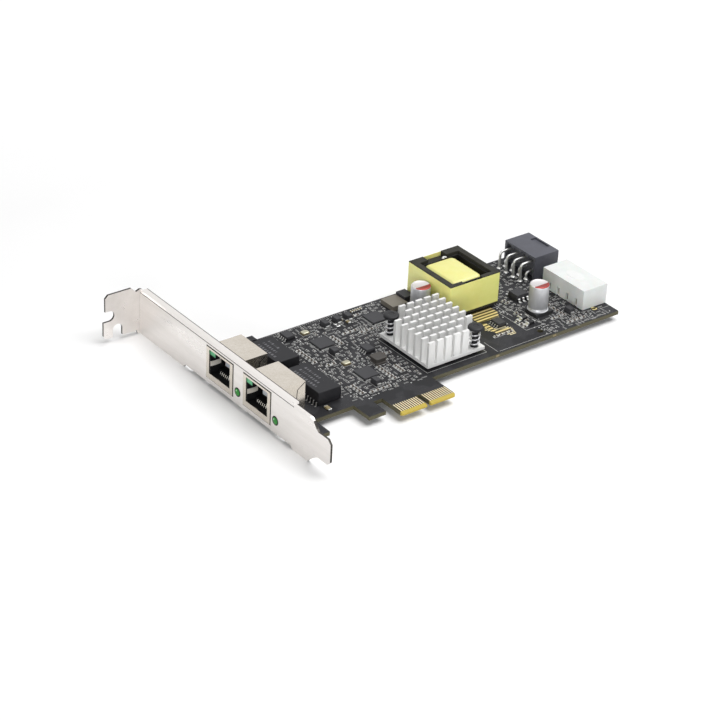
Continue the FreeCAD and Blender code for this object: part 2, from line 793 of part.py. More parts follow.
def socket(number, centre):
    """One network socket: shield, plastic body, wires, fingers and two light windows."""
    front = FACE_OUTER - size.socket_proud
    back = front + size.socket_depth
    half = size.port_width / 2 - size.socket_clearance
    top = SOCKET_TOP
    lip_low = size.socket_clearance - size.port_below_board
    lip_back = BOARD_LEFT - size.socket_clearance
    inside = size.shield_wall + size.shield_gap
    half_mouth = size.mouth_width / 2
    mouth_high = top - size.mouth_below_top
    plug_top = mouth_high - size.latch_height
    half_plug = size.plug_width / 2
    half_latch = size.latch_width / 2

    outer = fuse(f"shield_outer_{number}", [
        box(f"shield_block_{number}", (front, centre - half, 0), (back, centre + half, top)),
        box(f"shield_lip_{number}", (front, centre - half, lip_low), (lip_back, centre + half, 0)),
    ])
    wall = size.shield_wall
    hollow = box(
        f"shield_hollow_{number}",
        (front + wall, centre - half + wall, lip_low - wall),
        (back - wall, centre + half - wall, top - wall),
    )
    mouth = box(
        f"shield_mouth_{number}",
        (front - wall, centre - half_mouth, size.mouth_low),
        (front + 2 * wall, centre + half_mouth, mouth_high),
    )
    keep(f"socket_{number}_shield", cut(f"shield_{number}", outer, [hollow, mouth]))

    body_front = front + inside
    body_back = back - inside
    body_half = half - inside
    body_top = top - inside
    block = fuse(f"body_outer_{number}", [
        box(
            f"body_block_{number}",
            (body_front, centre - body_half, 0),
            (body_back, centre + body_half, body_top),
        ),
        box(
            f"body_lip_{number}",
            (body_front, centre - body_half, lip_low),
            (lip_back, centre + body_half, 0),
        ),
    ])
    plug_back = body_front + size.plug_depth
    window_low = mouth_high - size.window_height
    pieces = [
        box(f"plug_space_{number}", (body_front - inside, centre - half_plug, size.mouth_low),
            (plug_back, centre + half_plug, plug_top)),
        box(f"latch_space_{number}", (body_front - inside, centre - half_latch, plug_top),
            (plug_back, centre + half_latch, mouth_high)),
    ]
    window_front = body_front - inside + size.window_inset
    for side, name in ((1, "left"), (-1, "right")):
        near = centre + side * half_latch
        far = centre + side * half_mouth
        low_y, high_y = (near, far) if side > 0 else (far, near)
        gap = size.shield_gap
        pieces.append(box(
            f"window_space_{name}_{number}",
            (body_front - inside, low_y + gap, window_low),
            (window_front + size.window_length + gap, high_y, mouth_high),
        ))
        window = box(
            f"window_{name}_{number}",
            (window_front, low_y + 2 * gap, window_low + gap),
            (window_front + size.window_length, high_y - gap, mouth_high - gap),
        )
        keep(f"socket_{number}_{name}_window", window)
    keep(f"socket_{number}_body", cut(f"body_{number}", block, pieces))

    wires = []
    wire_low = size.mouth_low
    wire_front = body_front + size.socket_wire_inset
    wire_back = wire_front + size.socket_wire_run
    for index in range(SOCKET_WIRES):
        middle = centre + (index - (SOCKET_WIRES - 1) / 2) * size.socket_wire_pitch
        half_wire = size.socket_wire_size / 2
        wires.append(prism(
            f"wire_{number}_{index}",
            "XZ_Plane",
            [
                (wire_front, wire_low),
                (wire_back, wire_low + size.socket_wire_rise - size.socket_wire_size),
                (wire_back, wire_low + size.socket_wire_rise),
                (wire_front, wire_low + size.socket_wire_size),
            ],
            middle - half_wire,
            size.socket_wire_size,
        ))
    keep(f"socket_{number}_wires", group(f"wires_{number}", wires))

    fingers = []
    for side in (-1, 1):
        wall_y = centre + side * half_plug
        near = wall_y - side * size.shield_gap
        far = wall_y - side * (size.shield_gap + size.shield_wall)
        low_y, high_y = (far, near) if side > 0 else (near, far)
        root = front + size.shield_wall
        half_width = size.finger_width / 2
        fingers.append(box(
            f"finger_{number}_{'left' if side > 0 else 'right'}",
            (root, low_y, size.finger_height - half_width),
            (root + size.finger_length, high_y, size.finger_height + half_width),
        ))
    keep(f"socket_{number}_fingers", group(f"fingers_{number}", fingers))


def gull_leads(name, centre, half_width, count, pitch):
    """Gull-wing leads on the -X and +X sides of a package, each a foot and a riser."""
    leads = []
    for side in (-1, 1):
        for index in range(count):
            offset = (index - (count - 1) / 2) * pitch
            tip = half_width + size.lead_foot
            shank = half_width + size.lead_sheet
            parts = []
            spans = (
                (half_width, tip, ZERO, size.lead_sheet),
                (half_width, shank, ZERO, size.lead_height),
            )
            for piece, (near, far, low, high) in enumerate(spans):
                across = (near, far) if side > 0 else (-far, -near)
                middle_y = centre[1] + offset
                parts.append(box(
                    f"{name}_{'low' if side < 0 else 'high'}_{index}_{piece}",
                    (centre[0] + across[0], middle_y - size.lead_width / 2, low),
                    (centre[0] + across[1], middle_y + size.lead_width / 2, high),
                ))
            leads.append(fuse(f"{name}_lead_{'low' if side < 0 else 'high'}_{index}", parts))
    return leads


def magnetics():
    """Two magnetics modules in line with the sockets, and a small block behind the back one."""
    left = FACE_OUTER - size.socket_proud + size.socket_depth + size.magnetics_from_socket
    right = left + size.magnetics_depth
    middle_x = (left + right) / 2
    spans = (
        (PORT_CENTRES[0] + size.back_magnetics_shift, size.back_magnetics_length),
        (PORT_CENTRES[1] + size.front_magnetics_shift, size.front_magnetics_length),
    )
    for number, (middle_y, length) in enumerate(spans, start=1):
        body = box(
            f"magnetics_body_{number}",
            (left, middle_y - length / 2, size.magnetics_standoff),
            (right, middle_y + length / 2, size.magnetics_top),
        )
        keep(f"magnetics_{number}", body)
        leads = gull_leads(
            f"magnetics_leads_{number}",
            (middle_x, middle_y),
            size.magnetics_depth / 2,
            MAGNETICS_LEADS_EACH_SIDE,
            (length - 2 * size.magnetics_lead_inset) / (MAGNETICS_LEADS_EACH_SIDE - 1),
        )
        keep(f"magnetics_{number}_leads", group(f"magnetics_leads_{number}", leads))
    back_end = PORT_CENTRES[0] + size.back_magnetics_shift + size.back_magnetics_length / 2
    block_left = left + size.magnetics_standoff
    keep("magnetics_block", box(
        "magnetics_block_body",
        (block_left, back_end + size.magnetics_standoff, 0),
        (block_left + size.extra_block_width, back_end + size.magnetics_standoff + size.extra_block_length,
         size.magnetics_top),
    ))


def controller():
    """The controller chip and the pad that carries its heat to the sink."""
    x, y = size.sink_centre_x, size.sink_centre_y
    chip_top = size.sink_base_low - size.pad_thickness
    layers = (
        ("chip_carrier", size.chip_width / 2, 0, chip_top / 2),
        ("chip_lid", size.chip_lid_width / 2, chip_top / 2, chip_top),
        ("thermal_pad_body", size.pad_width / 2, chip_top, size.sink_base_low),
    )
    carrier, lid, pad_body = [
        box(name, (x - half, y - half, low), (x + half, y + half, high))
        for name, half, low, high in layers
    ]
    keep("controller_chip", fuse("controller_chip_body", [carrier, lid]))
    keep("thermal_pad", pad_body)


def heat_sink():
    """A thin base with a grid of flat pins, two corners of the grid left out for the push pins."""
    half_x = size.sink_width / 2
    half_y = size.sink_length / 2
    x, y = size.sink_centre_x, size.sink_centre_y
    half_length = size.sink_pin_length / 2
    half_width = size.sink_pin_width / 2
    inset = size.sink_pin_inset
    first_x = x - half_x + inset + half_length
    first_y = y - half_y + inset + half_width
    pitch_x = (size.sink_width - 2 * inset - size.sink_pin_length) / (SINK_COLUMNS - 1)
    pitch_y = (size.sink_length - 2 * inset - size.sink_pin_width) / (SINK_ROWS - 1)
    pieces = [box(
        "sink_base",
        (x - half_x, y - half_y, size.sink_base_low),
        (x + half_x, y + half_y, SINK_BASE_TOP),
    )]
    for column in range(SINK_COLUMNS):
        for row in range(SINK_ROWS):
            by_back_push_pin = column <= 1 and row >= SINK_ROWS - 2
            by_front_push_pin = column >= SINK_COLUMNS - 2 and row <= 1
            if by_back_push_pin or by_front_push_pin:
                continue
            middle_x = first_x + column * pitch_x
            middle_y = first_y + row * pitch_y
            pieces.append(box(
                f"sink_pin_{column}_{row}",
                (middle_x - half_length, middle_y - half_width, size.sink_base_low),
                (middle_x + half_length, middle_y + half_width, size.sink_top),
            ))
    holes = [
        cylinder(f"sink_hole_{index}", centre, size.push_pin_hole / 2, 0, size.sink_top)
        for index, centre in enumerate(PUSH_PINS)
    ]
    keep("heat_sink", cut("heat_sink_body", fuse("heat_sink_solid", pieces), holes))


def push_pin(number, centre):
    """A plastic push pin through the sink and the board, and the spring under its head."""
    shaft_radius = size.push_pin_shaft / 2
    barb_low = BOARD_UNDER - size.push_pin_tail
    head_low = size.push_pin_top - size.push_pin_head_height
    pin = fuse(f"push_pin_solid_{number}", [
        cylinder(f"pin_shaft_{number}", centre, shaft_radius, barb_low, head_low),
        cylinder(f"pin_head_{number}", centre, size.push_pin_head / 2, head_low, size.push_pin_top),
        cone(f"pin_barb_{number}", centre, shaft_radius / 2, size.push_pin_barb / 2, barb_low, BOARD_UNDER),
    ])
    keep(f"push_pin_{number}", pin)
    coil_radius = (size.spring_diameter - size.spring_wire) / 2
    wire_radius = size.spring_wire / 2
    wire = document.addObject("Part::Circle", f"spring_section_{number}")
    tie(wire, Radius=wire_radius)
    wire.Placement.Rotation = FreeCAD.Rotation(FreeCAD.Vector(1, 0, 0), 90)
    low = SINK_BASE_TOP + wire_radius
    place(wire, (centre[0] + coil_radius, centre[1], low))
    route = document.addObject("Part::Helix", f"spring_route_{number}")
    tie(route, Radius=coil_radius, Pitch=size.spring_pitch, Height=head_low - wire_radius - low)
    place(route, (centre[0], centre[1], low))
    coil = document.addObject("Part::Sweep", f"spring_coil_{number}")
    coil.Sections = [wire]
    coil.Spine = (route, [])
    coil.Solid = True
    coil.Frenet = True
    keep(f"push_pin_spring_{number}", coil)


def transformer():
    """The power transformer: ferrite frame, bobbin, winding, a wrap of tape, and pins."""
    left = size.transformer_left
    right = left + size.transformer_width
    back = size.board_back - size.transformer_from_back
    front = back - size.transformer_length
    top = size.transformer_top
    low = size.transformer_standoff
    tape = size.tape_thickness
    wall = size.core_wall + tape
    window_left = left + wall
    window_right = right - wall
    window_front = front + size.core_front_wall + tape
    window_back = back - size.core_back_wall - tape
    notch_middle = (left + right) / 2 - size.core_notch_shift
    notch_left = notch_middle - size.core_notch_width / 2
    notch_right = notch_middle + size.core_notch_width / 2
    block = box("core_block", (left + tape, front + tape, low), (right - tape, back - tape, top))
    core = cut("core_solid", block, [
        box("core_window",
            (window_left, window_front, low + size.core_floor),
            (window_right, window_back, top + wall)),
        box("core_notch",
            (notch_left, front - wall, top - size.core_notch_depth),
            (notch_right, back + wall, top + wall)),
    ])
    keep("transformer_core", core)
    gap = size.bobbin_gap
    inner = gap + size.bobbin_wall
    floor = low + size.core_floor
    bobbin = cut("bobbin_solid", box(
        "bobbin_block",
        (window_left + gap, window_front + gap, floor),
        (window_right - gap, window_back - gap, top - size.bobbin_drop),
    ), [box(
        "bobbin_window",
        (window_left + inner, window_front + inner, floor + size.bobbin_wall),
        (window_right - inner, window_back - inner, top),
    )])
    keep("transformer_bobbin", bobbin)
    clear = inner + size.bobbin_gap
    body = document.addObject("PartDesign::Body", "winding_body")
    sketch = new_sketch(body, "winding_outline", "XY_Plane", floor + size.bobbin_wall)
    winding_top = top - size.winding_drop
    rectangle(
        sketch,
        (window_left + clear, window_front + clear),
        (window_right - clear - size.winding_side_gap, window_back - clear),
    )
    pad(body, sketch, winding_top - floor - size.bobbin_wall)
    round_edges(body, "winding_rounding", size.winding_rounding, lambda edge: (
        all(abs(vertex.Z - winding_top.value) < NEAR for vertex in edge.Vertexes)
        or abs(edge.Vertexes[0].Z - edge.Vertexes[-1].Z) > NEAR
    ))
    keep("transformer_winding", body)
    wrap_low = size.tape_low
    wrap_top = top - size.tape_from_top
    wrap = cut("tape_solid", box(
        "tape_outer", (left, front, wrap_low), (right, back, wrap_top)), [box(
            "tape_inner",
            (left + tape, front + tape, wrap_low - wall),
            (right - tape, back - tape, wrap_top + wall),
        )])
    keep("transformer_tape", wrap)
    pins = []
    middle_y = (front + back) / 2
    count = TRANSFORMER_PINS_EACH_SIDE
    for side, x in enumerate((left + wall, right - wall)):
        for index in range(count):
            y = middle_y + (index - (count - 1) / 2) * size.transformer_pin_pitch
            radius = size.transformer_pin_diameter / 2
            pins.append(cylinder(f"transformer_pin_{side}_{index}", (x, y), radius, 0, low))
    keep("transformer_pins", group("transformer_pin_group", pins))


def can_capacitor(number, centre):
    """A surface-mount can capacitor on its plastic base."""
    half = size.can_base_width / 2
    corner = size.can_base_corner
    x, y = centre
    keep(f"capacitor_{number}_base", prism(
        f"can_base_{number}",
        "XY_Plane",
        [
            (x - half, y - half),
            (x + half, y - half),
            (x + half, y + half - corner),
            (x + half - corner, y + half),
            (x - half + corner, y + half),
            (x - half, y + half - corner),
        ],
        0,
        size.can_base_height,
    ))
    radius = size.can_diameter / 2
    low = size.can_base_height
    keep(f"capacitor_{number}_can", cylinder(f"can_{number}", centre, radius, low, size.can_top))


def power_header():
    """The eight-way right-angle header: housing with square cells, hollows, and bent pins."""
    face = size.board_right + size.header_overhang
    rear = face - size.power_depth
    high_y = size.board_back - size.power_from_back
    low_y = high_y - size.power_length
    middle_y = (low_y + high_y) / 2
    half_cell = size.power_cell / 2
    rows = (size.power_row_low, size.power_row_low + size.power_pitch)
    columns = [middle_y + (index - 1.5) * size.power_pitch for index in range(4)]
    cells = []
    pins = []
    half_pin = size.power_pin_size / 2
    cell_back = face - size.power_cell_depth
    for row, height in enumerate(rows):
        for index, y in enumerate(columns):
            cells.append(box(
                f"cell_{row}_{index}",
                (cell_back, y - half_cell, height - half_cell),
                (face + half_cell, y + half_cell, height + half_cell),
            ))
            cells.append(box(
                f"pin_passage_{row}_{index}",
                (rear - half_cell, y - half_pin, height - half_pin),
                (cell_back, y + half_pin, height + half_pin),
            ))
            bend_x = rear - size.power_tail_reach / (1 if row else 3)
            pins.append(fuse(f"power_pin_{row}_{index}", [
                box(f"pin_run_{row}_{index}", (bend_x - half_pin, y - half_pin, height - half_pin),
                    (cell_back + size.power_pin_reach, y + half_pin, height + half_pin)),
                box(f"pin_drop_{row}_{index}", (bend_x - half_pin, y - half_pin, 0),
                    (bend_x + half_pin, y + half_pin, height + half_pin)),
            ]))
    block = box("power_block", (rear, low_y, 0), (face, high_y, size.power_top))
    latch_right = face - size.power_latch_from_face
    hollows = [box(
        "latch_hollow",
        (latch_right - size.power_latch_length, middle_y - size.power_latch_width / 2,
         size.power_top - size.power_latch_drop),
        (latch_right, middle_y + size.power_latch_width / 2, size.power_top + half_cell),
    ), box(
        "rear_hollow",
        (rear - half_cell, low_y + size.power_rear_wall, -half_cell),
        (rear + size.power_rear_depth, high_y - size.power_rear_wall, size.power_rear_low_top),
    )]
    half_bay = size.power_rear_bay / 2
    for index, y in enumerate(columns):
        hollows.append(box(
            f"rear_bay_{index}",
            (rear - half_cell, y - half_bay, half_cell),
            (rear + size.power_rear_depth, y + half_bay, size.power_rear_high_top),
        ))
    keep("power_header_housing", cut("power_housing", block, cells + hollows))
    keep("power_header_pins", group("power_pin_group", pins))


def signal_header():
    """The four-way right-angle header with one wide mouth, round pins and a blank sticker."""
    face = size.board_right + size.header_overhang
    rear = face - size.signal_depth
    low_y = size.signal_front
    high_y = low_y + size.signal_length
    middle_y = (low_y + high_y) / 2
    wall = size.signal_wall
    middle_z = size.signal_top / 2
    cavity_back = face - size.signal_cavity_depth
    radius = size.signal_pin_diameter / 2
    pin_z = size.signal_pin_height
    half_tail = size.signal_tail_width / 2
    cavity = prism(
        "signal_cavity",
        "YZ_Plane",
        [
            (low_y + wall, wall),
            (high_y - wall, wall),
            (high_y - wall, middle_z),
            (high_y - 3 * wall, size.signal_top - wall),
            (low_y + 3 * wall, size.signal_top - wall),
            (low_y + wall, middle_z),
        ],
        cavity_back,
        size.signal_cavity_depth + wall,
    )
    tools = [cavity]
    pins = []
    for index in range(4):
        y = middle_y + (index - 1.5) * size.signal_pitch
        tail_x = rear + size.signal_tail_reach
        tools.append(lying_cylinder(
            f"signal_passage_{index}", (y, pin_z), radius, tail_x - radius, cavity_back))
        tools.append(box(
            f"signal_tail_space_{index}",
            (rear - wall, y - half_tail, -wall),
            (tail_x + half_tail, y + half_tail, pin_z + half_tail),
        ))
        pins.append(fuse(f"signal_pin_{index}", [
            lying_cylinder(
                f"signal_run_{index}", (y, pin_z), radius,
                tail_x - radius, face - size.signal_pin_recess),
            cylinder(f"signal_drop_{index}", (tail_x, y), half_tail, 0, pin_z),
        ]))
    block = box("signal_block", (rear, low_y, 0), (face, high_y, size.signal_top))
    keep("signal_header_housing", cut("signal_housing", block, tools))
    keep("signal_header_pins", group("signal_pin_group", pins))
    sticker = document.addObject("Part::Ellipse", "sticker_outline")
    tie(sticker, MajorRadius=size.sticker_length / 2, MinorRadius=size.sticker_width / 2)
    place(sticker, ((rear + face) / 2, middle_y, size.signal_top))
    sticker.Placement.Rotation = FreeCAD.Rotation(FreeCAD.Vector(0, 0, 1), 90)
    sheet_of_paper = document.addObject("Part::Extrusion", "sticker_body")
    sheet_of_paper.Base = sticker
    sheet_of_paper.DirMode = "Custom"
    sheet_of_paper.Dir = FreeCAD.Vector(0, 0, 1)
    sheet_of_paper.Solid = True
    tie(sheet_of_paper, LengthFwd=size.sticker_thickness)
    keep("signal_header_sticker", sheet_of_paper)


# Places of the parts on the open board, each as X from the key notch and Y from the card's
# bottom edge. Those beside the back edge are given from that edge instead.
SMALL_PACKAGES = (
    (4.3, 42.4),
    (58.1, 31.0),
    (-15.0, 66.0),
)
BRIDGE_PLACE = (78.1, 42.9)
COIL_PLACE = (2.6, 33.5)
BRIDGE_LEADS_EACH_SIDE = 3
FLAT_PACKAGES = ((-7.0, 55.0), (-6.5, 28.7), (21.2, 59.6))
CRYSTALS = ((-7.8, 64.8), (-8.2, 38.6))
GOLD_OUTLINES = (
    ((52.0, 41.0), (54.4, 43.0), (63.8, 43.0), (64.0, 38.6), (61.9, 35.0), (52.4, 35.4)),
    ((51.8, 34.4), (54.2, 34.4), (54.4, 27.6), (59.6, 26.8), (59.6, 25.2), (53.0, 25.2)),
)
DIODES = ((1.9, 65.4), (7.6, 65.6), (12.6, 65.4), (-7.5, 21.6), (-7.4, 47.1), (87.2, 23.4))
CHIP_ROWS = (
    # first X, first Y, step X, step Y, how many
    (-20.5, 62.0, 0.0, -2.2, 5),
    (-17.6, 55.5, 0.0, -2.0, 6),
    (-20.5, 36.0, 0.0, -2.0, 5),
    (-14.6, 41.0, 2.4, 0.0, 2),
    (-16.0, 24.5, 0.0, -1.9, 4),
    (-12.5, 17.5, 2.5, 0.0, 4),
    (-1.0, 57.0, 0.0, -1.9, 4),
    (0.2, 30.2, 0.0, -1.9, 6),
    (4.5, 56.5, 2.4, 0.0, 3),
    (7.5, 36.5, 2.3, 0.0, 2),
    (5.9, 27.5, 0.0, -1.4, 4),
    (10.5, 54.0, 2.3, 0.0, 3),
    (15.0, 65.5, 2.3, 0.0, 2),
    (27.4, 55.5, 0.0, -2.1, 3),
    (46.0, 36.5, 0.0, -2.0, 5),
    (51.0, 24.0, 2.4, 0.0, 4),
    (65.2, 28.3, 0.0, -2.2, 3),
    (69.0, 33.4, 0.0, -2.1, 5),
    (71.4, 43.6, 0.0, -2.1, 2),
    (71.8, 60.5, 0.0, -2.2, 6),
    (76.2, 62.5, 0.0, -2.2, 4),
    (78.6, 22.6, 2.6, 0.0, 3),
    (82.0, 17.2, 2.3, 0.0, 4),
    (83.6, 28.6, 0.0, -2.1, 3),
    (83.8, 38.0, 0.0, -2.1, 4),
)


def packages():
    """Leaded packages with their leads, leadless packages, crystals and diodes."""
    bodies = []
    leads = []
    for index, (x, y) in enumerate(SMALL_PACKAGES):
        centre = (as_size(x), as_size(y))
        half_x = size.small_package_width / 2
        half_y = size.small_package_length / 2
        bodies.append(box(
            f"small_package_{index}",
            (centre[0] - half_x, centre[1] - half_y, size.package_standoff),
            (centre[0] + half_x, centre[1] + half_y, size.package_height),
        ))
        leads += gull_leads(f"small_{index}", centre, half_x, 4, size.small_package_pitch)
    keep("leaded_packages", group("leaded_package_group", bodies))
    keep("package_leads", group("package_lead_group", leads))
    half_flat = size.flat_package_width / 2
    keep("leadless_packages", group("leadless_package_group", [
        box(f"flat_package_{index}", (x - half_flat, y - half_flat, 0),
            (x + half_flat, y + half_flat, size.flat_package_height))
        for index, (x, y) in enumerate(FLAT_PACKAGES)
    ]))
    half_x = size.crystal_width / 2
    half_y = size.crystal_length / 2
    keep("crystals", group("crystal_group", [
        box(f"crystal_{index}", (x - half_x, y - half_y, 0), (x + half_x, y + half_y, size.crystal_height))
        for index, (x, y) in enumerate(CRYSTALS)
    ]))
    half_x = size.diode_width / 2
    half_y = size.diode_length / 2
    keep("diodes", group("diode_group", [
        box(f"diode_{index}", (x - half_x, y - half_y, 0), (x + half_x, y + half_y, size.diode_height))
        for index, (x, y) in enumerate(DIODES)
    ]))


def bridge():
    """The thick package between the gray header and the front can, with broad leads to -Y and +Y."""
    x, y = (as_size(number) for number in BRIDGE_PLACE)
    half_x = size.bridge_width / 2
    half_y = size.bridge_length / 2
    riser_top = size.bridge_lead_height
    keep("bridge_body", box(
        "bridge_block",
        (x - half_x, y - half_y, size.package_standoff),
        (x + half_x, y + half_y, size.bridge_height),
    ))
    leads = []
    for side in (-1, 1):
        near = y + side * half_y
        shank = y + side * (half_y + size.lead_sheet)
        tip = y + side * (half_y + size.bridge_lead_foot)
        for index in range(BRIDGE_LEADS_EACH_SIDE):
            middle = x + (index - (BRIDGE_LEADS_EACH_SIDE - 1) / 2) * size.bridge_lead_pitch
            low_x = middle - size.bridge_lead_width / 2
            high_x = middle + size.bridge_lead_width / 2
            name = f"{'low' if side < 0 else 'high'}_{index}"
            foot = (near, tip) if side > 0 else (tip, near)
            riser = (near, shank) if side > 0 else (shank, near)
            leads.append(fuse(f"bridge_lead_{name}", [
                box(f"bridge_foot_{name}", (low_x, foot[0], ZERO), (high_x, foot[1], size.lead_sheet)),
                box(f"bridge_riser_{name}", (low_x, riser[0], ZERO), (high_x, riser[1], riser_top)),
            ]))
    keep("bridge_leads", group("bridge_lead_group", leads))


def coils_and_blocks():
    """The wound coil, the pale block by the transformer and the taller block beside it."""
    x, y = (as_size(number) for number in COIL_PLACE)
    half_x = size.coil_width / 2
    half_y = size.coil_length / 2
    keep("power_coil", box(
        "power_coil_body", (x - half_x, y - half_y, 0), (x + half_x, y + half_y, size.coil_height)))
    right = size.transformer_left - size.transformer_standoff
    back = size.board_back - size.transformer_from_back
    tall_left = right - size.tall_block_width
    keep("tall_block", box(
        "tall_block_body",
        (tall_left, back - size.tall_block_length, 0),
        (right, back, size.tall_block_height),
    ))
    block_right = tall_left - size.bobbin_gap
    keep("pale_block", box(
        "pale_block_body",
        (block_right - size.block_width, back - size.block_length, 0),
        (block_right, back, size.block_height),
    ))


def chip_parts():
    """Rows of two-ended chip parts: a body between two metal end caps."""
    bodies = []
    caps = []
    half_length = size.chip_part_length / 2
    half_width = size.chip_part_width / 2
    for row, (first_x, first_y, step_x, step_y, count) in enumerate(CHIP_ROWS):
        for index in range(count):
            x = as_size(first_x + index * step_x)
            y = as_size(first_y + index * step_y)
            inner = half_length - size.chip_part_cap
            bodies.append(box(
                f"chip_body_{row}_{index}",
                (x - inner, y - half_width, 0),
                (x + inner, y + half_width, size.chip_part_height),
            ))
            for side, low, high in ((0, -half_length, -inner), (1, inner, half_length)):
                caps.append(box(
                    f"chip_cap_{row}_{index}_{side}",
                    (x + low, y - half_width, 0),
                    (x + high, y + half_width, size.chip_part_height),
                ))
    keep("chip_part_bodies", group("chip_body_group", bodies))
    keep("chip_part_caps", group("chip_cap_group", caps))


def gold_areas():
    """Bare gold-plated copper: two areas around a small package and the ring of a hole."""
    over = size.gold_area_thickness
    areas = [
        prism(f"gold_area_{index}", "XY_Plane", corners, 0, over)
        for index, corners in enumerate(GOLD_OUTLINES)
    ]
    x = size.board_right - size.ring_hole_from_right
    y = size.board_front + size.ring_hole_inset
    ring = cut("gold_ring", cylinder("gold_disc", (x, y), size.ring_hole_diameter, 0, over), [
        cylinder("gold_hole", (x, y), size.ring_hole_diameter / 2, -over, 2 * over)])
    keep("gold_areas", group("gold_area_group", areas + [ring]))


def check(items):
    """Stop if any object failed, or any sub-part's shape is missing or broken."""
    for item in document.Objects:
        if "Invalid" in item.State or "Error" in item.State:
            raise RuntimeError(f"{item.Name} is {item.State}")
    for item in items:
        if item.Shape.isNull() or not item.Shape.isValid():
            raise RuntimeError(f"{item.Label} has no sound shape")


circuit_board()
edge_contacts()
slot_bracket()
bracket_screws()
port_lights()
for socket_number, socket_centre in enumerate(PORT_CENTRES, start=1):
    socket(socket_number, socket_centre)
magnetics()
controller()
heat_sink()
for pin_number, pin_centre in enumerate(PUSH_PINS, start=1):
    push_pin(pin_number, pin_centre)
transformer()
can_capacitor(1, (size.back_can_x, size.board_back - size.back_can_from_back))
can_capacitor(2, (size.front_can_x, size.front_can_y))
power_header()
signal_header()
packages()
bridge()
coils_and_blocks()
chip_parts()
gold_areas()
document.recompute()
check(SUB_PARTS)

os.makedirs("parts", exist_ok=True)
for sub_part in SUB_PARTS:
    sub_part.Shape.exportStep(f"parts/{sub_part.Label}.step")
    bounds = sub_part.Shape.BoundBox
    print(
        f"{sub_part.Label}: {len(sub_part.Shape.Solids)} solids,"
        f" X {bounds.XMin:.2f} {bounds.XMax:.2f},"
        f" Y {bounds.YMin:.2f} {bounds.YMax:.2f},"
        f" Z {bounds.ZMin:.2f} {bounds.ZMax:.2f}"
    )
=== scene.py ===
"""Looks of a two-port network interface card, built around its packed CAD frame.

Lengths in the classes are millimetres; meshes are handed to Blender in metres. X runs along the
card away from the bracket, Y up the card from its card edge, and Z out of the component face.
"""
from __future__ import annotations

import json
import logging
from dataclasses import dataclass, field
from enum import Enum
from functools import partial, reduce

import bpy
import numpy as np
from mathutils import Matrix, Vector

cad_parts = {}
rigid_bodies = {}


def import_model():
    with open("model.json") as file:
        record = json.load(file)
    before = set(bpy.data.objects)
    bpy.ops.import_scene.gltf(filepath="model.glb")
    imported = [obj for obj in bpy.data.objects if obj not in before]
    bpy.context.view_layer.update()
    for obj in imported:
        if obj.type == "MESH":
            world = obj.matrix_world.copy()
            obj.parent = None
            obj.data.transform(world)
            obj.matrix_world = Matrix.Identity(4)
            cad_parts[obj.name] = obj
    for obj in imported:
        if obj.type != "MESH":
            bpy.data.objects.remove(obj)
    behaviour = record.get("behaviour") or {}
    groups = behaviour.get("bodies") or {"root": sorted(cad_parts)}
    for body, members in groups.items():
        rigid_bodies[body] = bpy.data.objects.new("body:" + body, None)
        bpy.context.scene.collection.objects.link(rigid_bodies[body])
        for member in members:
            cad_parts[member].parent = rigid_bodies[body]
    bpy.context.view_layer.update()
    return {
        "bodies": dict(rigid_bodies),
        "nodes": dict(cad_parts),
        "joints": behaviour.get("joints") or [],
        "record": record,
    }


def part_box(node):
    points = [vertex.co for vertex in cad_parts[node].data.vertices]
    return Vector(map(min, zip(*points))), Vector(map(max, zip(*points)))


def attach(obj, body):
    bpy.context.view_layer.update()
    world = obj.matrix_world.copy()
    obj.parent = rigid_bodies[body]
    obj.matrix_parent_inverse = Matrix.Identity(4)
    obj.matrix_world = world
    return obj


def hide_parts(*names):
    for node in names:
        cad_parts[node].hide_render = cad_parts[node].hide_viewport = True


MM = 0.001
BODY = "root"
LOG = logging.getLogger("network_card")

Tree, Node, Out = bpy.types.NodeTree, bpy.types.Node, bpy.types.NodeSocket
Pair, Triple = tuple[float, float], tuple[float, float, float]
Mesh = tuple[np.ndarray, list]  # vertices, and the faces that index them

WAVE_PERIOD = 0.314  # length of one period of the wave texture at a scale of 1
BROAD = 14  # the broad pattern's spots are this many grains wide
FINE_SHARE = 0.6  # weight of the fine pattern beside the broad one
COLOUR_SPAN = (0.55, 1.05)  # range of the joined patterns over which the colour turns
GLOSS_SPAN = (0.5, 1.1)  # range over which the roughness rises
SCATTER_MM = 0.5  # how deep light goes into translucent plastic
BORDER_MM = 0.05  # width of the soft border between two looks
FAR_MM = 999  # beyond the card in any direction


class Axis(Enum):
    """The axis along which bands follow each other, or on which a solid is turned."""

    X = "X"
    Y = "Y"
    Z = "Z"


# --------------------------------------------------------------------------- node helpers


def linear(hex_colour: str) -> tuple[float, float, float, float]:
    """Turn an sRGB hex colour to linear light.

    Args:
        hex_colour: six hex digits, with or without a leading hash.

    Returns:
        Red, green, blue and alpha, linear.
    """
    digits = hex_colour.lstrip("#")
    channels = np.array([int(digits[start:start + 2], 16) / 255 for start in (0, 2, 4)])
    light = np.where(channels <= 0.04045, channels / 12.92, ((channels + 0.055) / 1.055) ** 2.4)
    return (float(light[0]), float(light[1]), float(light[2]), 1.0)


def add(tree: Tree, kind: str, settings: dict | None = None, inputs: dict | None = None) -> Node:
    """Add one node with its settings and links.

    Args:
        tree: the node tree.
        kind: the node's type name.
        settings: attributes to set on the node.
        inputs: input name or index to a value, or to the output socket that feeds it.

    Returns:
        The node.
    """
    node = tree.nodes.new(kind)
    for name, value in (settings or {}).items():
        setattr(node, name, value)
    for name, value in (inputs or {}).items():
        if isinstance(value, Out):
            tree.links.new(value, node.inputs[name])
        else:
            node.inputs[name].default_value = value
    return node


